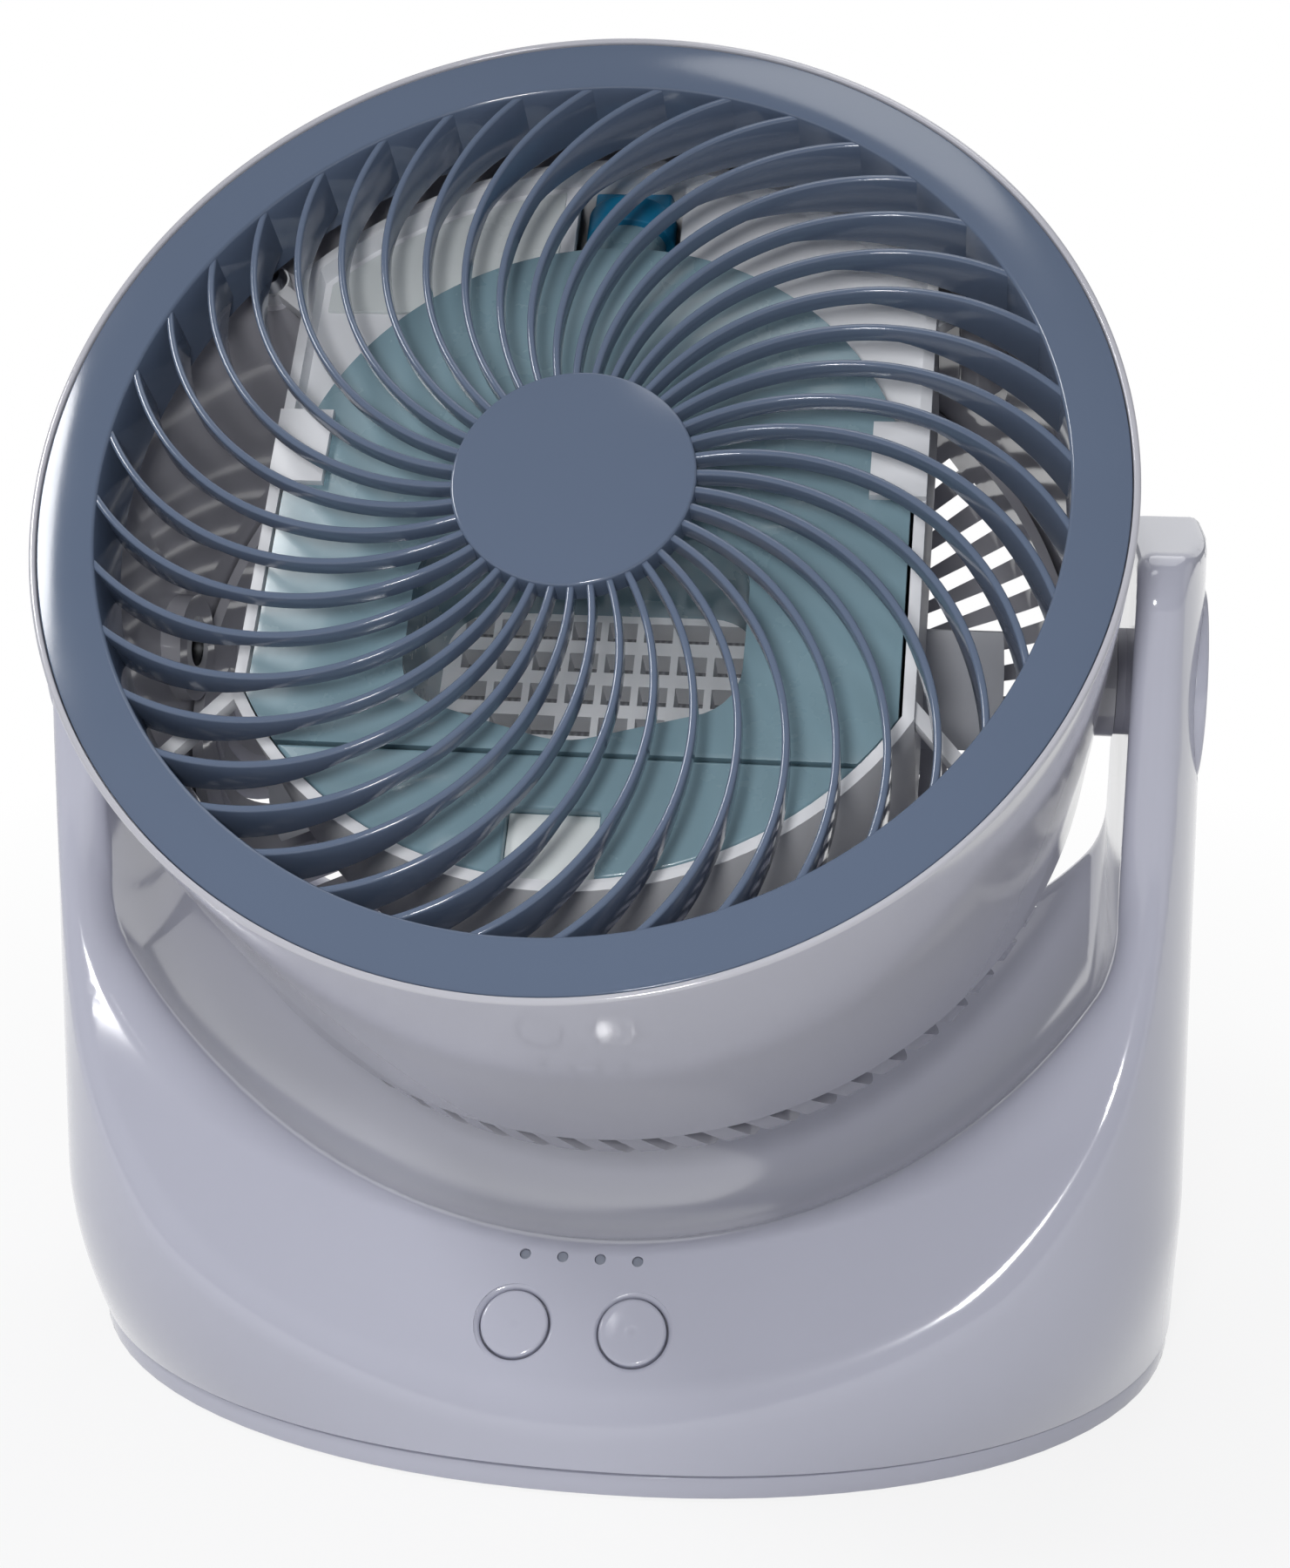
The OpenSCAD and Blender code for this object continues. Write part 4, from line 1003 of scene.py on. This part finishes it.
class COOLER_OT_grille(CoolerOperator, bpy.types.Operator):
    """The front grille: ring, skirt, hub and swept blades"""

    bl_idname = "cooler.grille"
    bl_label = "Front Grille"

    def build(self, sizes):
        skirt = RING_IN + SKIRT_T
        ring = fillet(
            [(RING_IN, FACE), (GRILLE_R, FACE), (GRILLE_R, FACE - GRILLE_T), (skirt, FACE - GRILLE_T),
             (skirt, FACE - 15), (RING_IN, FACE - 15)],
            [0.6, 0.25, 0, 0, 0.3, 0.3],
        )
        hub = fillet(
            [(0, FACE), (HUB_R, FACE), (HUB_R, FACE - HUB_EDGE), (HUB_R - 2, FACE - HUB_EDGE),
             (HUB_R - 2, FACE - 3), (0, FACE - 3)],
            [0, 0.5, 0.3, 0.3, 0.5, 0],
        )
        foot_r = HUB_R - 1.6
        sweep = self.sweep_to(BLADE_END_R, sizes.blade_arc * 1000, foot_r)
        middle = FACE * 0.001 - sizes.blade_drop - sizes.blade_depth / 2
        blades = grow(blade_tree(), {
            "Count": sizes.blade_count, "Arc Radius": sizes.blade_arc, "Sweep": sweep,
            "Start Angle": math.pi / 2 - sweep, "Foot": (foot_r * 0.001, -sizes.blade_arc, 0.0),
            "Lean": (0.0, 0.0, sizes.blade_lean), "Thickness": sizes.blade_thickness,
            "Depth": sizes.blade_depth, "Rounding": sizes.blade_thickness * 0.36,
            "Flare Start": (RING_IN - FLARE) * 0.001, "Flare End": (RING_IN + SKIRT_T / 2) * 0.001,
            "Extra Depth": sizes.blade_root - sizes.blade_depth,
        }, "slate", shift=HEAD @ Vector((0, 0, middle)))
        mesh = solid(join_parts([revolve(ring), revolve(hub, 96)]))
        mesh.transform(HEAD)
        bm = bmesh.new()
        bm.from_mesh(mesh)
        bm.from_mesh(blades)
        bmesh.ops.recalc_face_normals(bm, faces=bm.faces)
        bm.to_mesh(mesh)
        bm.free()
        show("spiral_grille", mesh, "head", "slate", "front_grille", 40)

    @staticmethod
    def sweep_to(r_end, arc, foot_r):
        """How far a blade sweeps before it reaches the ring's skirt."""
        for i in range(1, 2000):
            t = math.radians(i * 0.1)
            x, y = foot_r + arc * math.sin(t), -arc + arc * math.cos(t)
            if math.hypot(x, y) >= r_end:
                return t
        raise RuntimeError("the blades don't reach the ring")


class COOLER_OT_rear_cover(CoolerOperator, bpy.types.Operator):
    """The slotted rear cover"""

    bl_idname = "cooler.rear_cover"
    bl_label = "Rear Cover"

    def build(self, sizes):
        floor, wall_r, wall_top = -TAIL + COVER_T, SPIGOT_R - 2, DRUM_END + 6
        turned = [(0, floor), (0, -TAIL)]
        turned += self.corner(COVER_R - CORNER_R, -TAIL + CORNER_R, range(0, 91, 10))
        turned += [(COVER_R, DRUM_END), (SPIGOT_R, DRUM_END), (SPIGOT_R, wall_top), (wall_r, wall_top)]
        turned += self.corner(wall_r - CORNER_R, floor + CORNER_R, range(90, -1, -10))
        shell = solid(revolve(turned, 272))
        holes = [rod((x, y, -TAIL - 1), (x, y, -TAIL + 4), 1.4, 24) for x, y in MOTOR_SCREWS]
        shell = cut(shell, solid(join_parts(holes)))
        slant = math.radians(25)
        mesh = grow(slot_tree(), {
            "Corner Count": 68, "Corner Size": (0.0294, 0.003, 0.026),
            "Corner At": (0.0747, 0.001 * math.sin(slant), -0.0305 - 0.001 * math.cos(slant)),
            "Corner Slant": (slant, 0.0, 0.0),
            "Inner Count": 34, "Inner Size": (0.028, 0.003, 0.0042), "Inner At": (0.041, 0.0, -0.0349),
        }, "drum", shell)
        show("slotted_cover", mesh, "head", "drum", "rear_cover", 30)

    @staticmethod
    def corner(r, z, angles):
        """The points of a rounded corner about (r, z)."""
        return [(r + y, z - x) for x, y in polar(CORNER_R, angles)]


class COOLER_OT_water_box(CoolerOperator, bpy.types.Operator):
    """The tank, drawer, tray, grid and what is fixed to them"""

    bl_idname = "cooler.water_box"
    bl_label = "Water Box"

    def build(self, sizes):
        edge = sizes.edge_round
        dress("tank", "water_tank", "head", "teal", edge * 2.2, 4)
        dress("drawer", "tank_drawer", "head", "teal", edge * 1.6, 4)
        dress("window", "level_window", "head", "window", edge * 0.5)
        dress("plug", "fill_plug", "head", "blue", edge * 1.5, 3)
        dress("tray", "tank_tray", "head", "inner", edge * 0.9)
        dress("plate", "blank_plate", "head", "window", edge * 0.4)
        self.grid()
        carry("cooling_pad", "wick")
        at = [(x, y, LUG_Z + 3) for x, y in TRAY_POSTS]
        screws("tray_screw_heads", at, HEAD, 0.0, "head", "tray_screws", (3.0, 1.6), (1.5, 13.0))

    @staticmethod
    def grid():
        """The grid in front of the pad: openings 6.4 mm apart across and 6.2 up."""
        plate = solid(block((-31.5, -41.9, 14.0), (31.5, 2.5, 20.0)))
        mesh = grow(grid_tree(), {
            "Columns": 8, "Rows": 6, "Field": (7 * 0.0064, 5 * 0.0062, 0.0),
            "Opening": (0.0051, 0.0037, 0.01), "At": (0.0, -0.0197, 0.017),
        }, "inner", plate)
        show("grid", mesh, "head", "inner", "pad_grid", 30)


class COOLER_OT_fan(CoolerOperator, bpy.types.Operator):
    """The impeller, its motor, shaft and screws"""

    bl_idname = "cooler.fan"
    bl_label = "Fan"

    def build(self, sizes):
        dress("impeller_rounded", "impeller", "fan", "fan", sizes.edge_round)
        carry("motor", "dark")
        carry("motor_shaft", "steel")
        at = [(x, -y, TAIL) for x, y in MOTOR_SCREWS]
        screws("motor_screw_heads", at, HEAD, math.pi, "head", "motor_screws", (2.6, 1.4), (1.4, 6.2))


class COOLER_OT_stage(CoolerOperator, bpy.types.Operator):
    """The floor, the lamps, the world and the camera"""

    bl_idname = "cooler.stage"
    bl_label = "Stage"

    def build(self, sizes):
        scene = bpy.context.scene
        scene.view_settings.view_transform = "Standard"
        self.floor()
        self.world(scene)
        for name, at, size, power in (
            ("key_lamp", (-0.7, -0.35, 1.1), 0.3, 4.9),
            ("right_lamp", (1.25, 0.35, 0.6), 1.0, 1.2),
            ("left_lamp", (-1.25, 0.5, 0.6), 1.0, 1.5),
            ("rear_lamp", (0.2, 1.35, 0.75), 1.4, 3.2),
            ("back_lamp", (0.1, 0.55, 1.0), 0.7, 2.1),
            ("window_lamp", (0.0, -0.12, 1.2), 0.24, 0.5),
            ("camera_lamp", (0.03, -0.44, 0.27), 0.06, 0.86),
        ):
            self.lamp(name, at, size, power)
        self.camera(scene)

    @staticmethod
    def seen(nt):
        """1 where the camera, a reflection or a clear piece looks straight at it."""
        path = nt.nodes.new("ShaderNodeLightPath").outputs
        both = path["Is Camera Ray"]
        for label in ("Is Glossy Ray", "Is Transmission Ray"):
            both = calc(nt, "MAXIMUM", both, path[label])
        return both

    def floor(self):
        bpy.ops.mesh.primitive_plane_add(size=6)
        obj = bpy.context.object
        obj.name = "floor"
        mat, nt, plain, at = finish_tree("floor_white")
        plain.inputs["Base Color"].default_value = (0.75, 0.75, 0.76, 1)
        plain.inputs["Roughness"].default_value = 0.9
        glow = node_in(nt, "ShaderNodeEmission", {"Color": (1, 1, 1, 1), "Strength": 1.0})
        away = node_in(nt, "ShaderNodeVectorMath", {0: at}, operation="LENGTH")
        fade = node_in(nt, "ShaderNodeMapRange", {
            "Value": away.outputs["Value"], "From Min": 0.12, "From Max": 0.45, "To Min": 0.85, "To Max": 1.0,
        })
        share = calc(nt, "MULTIPLY", self.seen(nt), fade.outputs[0])
        mix = node_in(nt, "ShaderNodeMixShader", {0: share, 1: plain.outputs[0], 2: glow.outputs[0]})
        nt.links.new(mix.outputs[0], nt.nodes["Material Output"].inputs["Surface"])
        obj.data.materials.append(mat)

    @staticmethod
    def world(scene):
        """A faint cool light from all round, which the camera sees as plain white."""
        world = bpy.data.worlds.new("studio")
        world.use_nodes = True
        scene.world = world
        nt = world.node_tree
        soft = nt.nodes["Background"]
        soft.inputs["Color"].default_value = (0.93, 0.95, 1.0, 1)
        soft.inputs["Strength"].default_value = 0.24
        white = node_in(nt, "ShaderNodeBackground", {"Color": (1, 1, 1, 1), "Strength": 1.0})
        path = nt.nodes.new("ShaderNodeLightPath").outputs
        mix = node_in(nt, "ShaderNodeMixShader", {
            0: path["Is Camera Ray"], 1: soft.outputs[0], 2: white.outputs[0],
        })
        nt.links.new(mix.outputs[0], nt.nodes["World Output"].inputs["Surface"])

    @staticmethod
    def lamp(name, at, size, power):
        light = bpy.data.lights.new(name, "AREA")
        light.shape = "DISK"
        light.size = size
        light.energy = power
        obj = loose(light, name)
        obj.location = at
        middle = Vector((0, 0, 0.12))
        obj.rotation_euler = (middle - Vector(at)).to_track_quat("-Z", "Y").to_euler()

    @staticmethod
    def camera(scene):
        data = bpy.data.cameras.new("camera")
        data.sensor_width = 36.0
        data.lens = 55.03
        data.clip_start = 0.01
        obj = loose(data, "camera")
        az, el, roll = math.radians(8.347), math.radians(15.683), math.radians(0.208)
        ahead = Vector((-math.sin(az) * math.cos(el), math.cos(az) * math.cos(el), -math.sin(el)))
        # From the tilt axis to the middle of the grille's face, and from there back to the camera
        obj.location = (0.0671, TILT_AXIS.y - 0.04979 - 0.37635, TILT_AXIS.z + 0.04178 + 0.05619)
        obj.rotation_mode = "QUATERNION"
        level = ahead.to_track_quat("-Z", "Y")
        obj.rotation_quaternion = level @ Matrix.Rotation(roll, 3, "Z").to_quaternion()
        scene.camera = obj


OPERATORS = [
    COOLER_OT_stand_body, COOLER_OT_base_plate, COOLER_OT_controls, COOLER_OT_pivots, COOLER_OT_drum,
    COOLER_OT_grille, COOLER_OT_rear_cover, COOLER_OT_water_box, COOLER_OT_fan, COOLER_OT_stage,
]


class COOLER_PT_panel(bpy.types.Panel):
    """Lists the cooler's pieces in the sidebar"""

    bl_idname = "COOLER_PT_panel"
    bl_label = "Air Cooler"
    bl_space_type = "VIEW_3D"
    bl_region_type = "UI"
    bl_category = "Air Cooler"

    def draw(self, context):
        for group in (context.scene.cooler_sizes, context.scene.cooler_colours):
            box = self.layout.box()
            for name in group.__annotations__:
                box.prop(group, name)
        for op in OPERATORS:
            self.layout.operator(op.bl_idname)


CLASSES = [CoolerSizes, CoolerColours, *OPERATORS, COOLER_PT_panel]


def register():
    for cls in CLASSES:
        bpy.utils.register_class(cls)
    bpy.types.Scene.cooler_sizes = PointerProperty(type=CoolerSizes)
    bpy.types.Scene.cooler_colours = PointerProperty(type=CoolerColours)


def unregister():
    del bpy.types.Scene.cooler_colours
    del bpy.types.Scene.cooler_sizes
    for cls in reversed(CLASSES):
        bpy.utils.unregister_class(cls)


def main():
    register()
    for op in OPERATORS:
        getattr(bpy.ops.cooler, op.bl_idname.split(".")[1])()


if __name__ == "__main__":
    main()
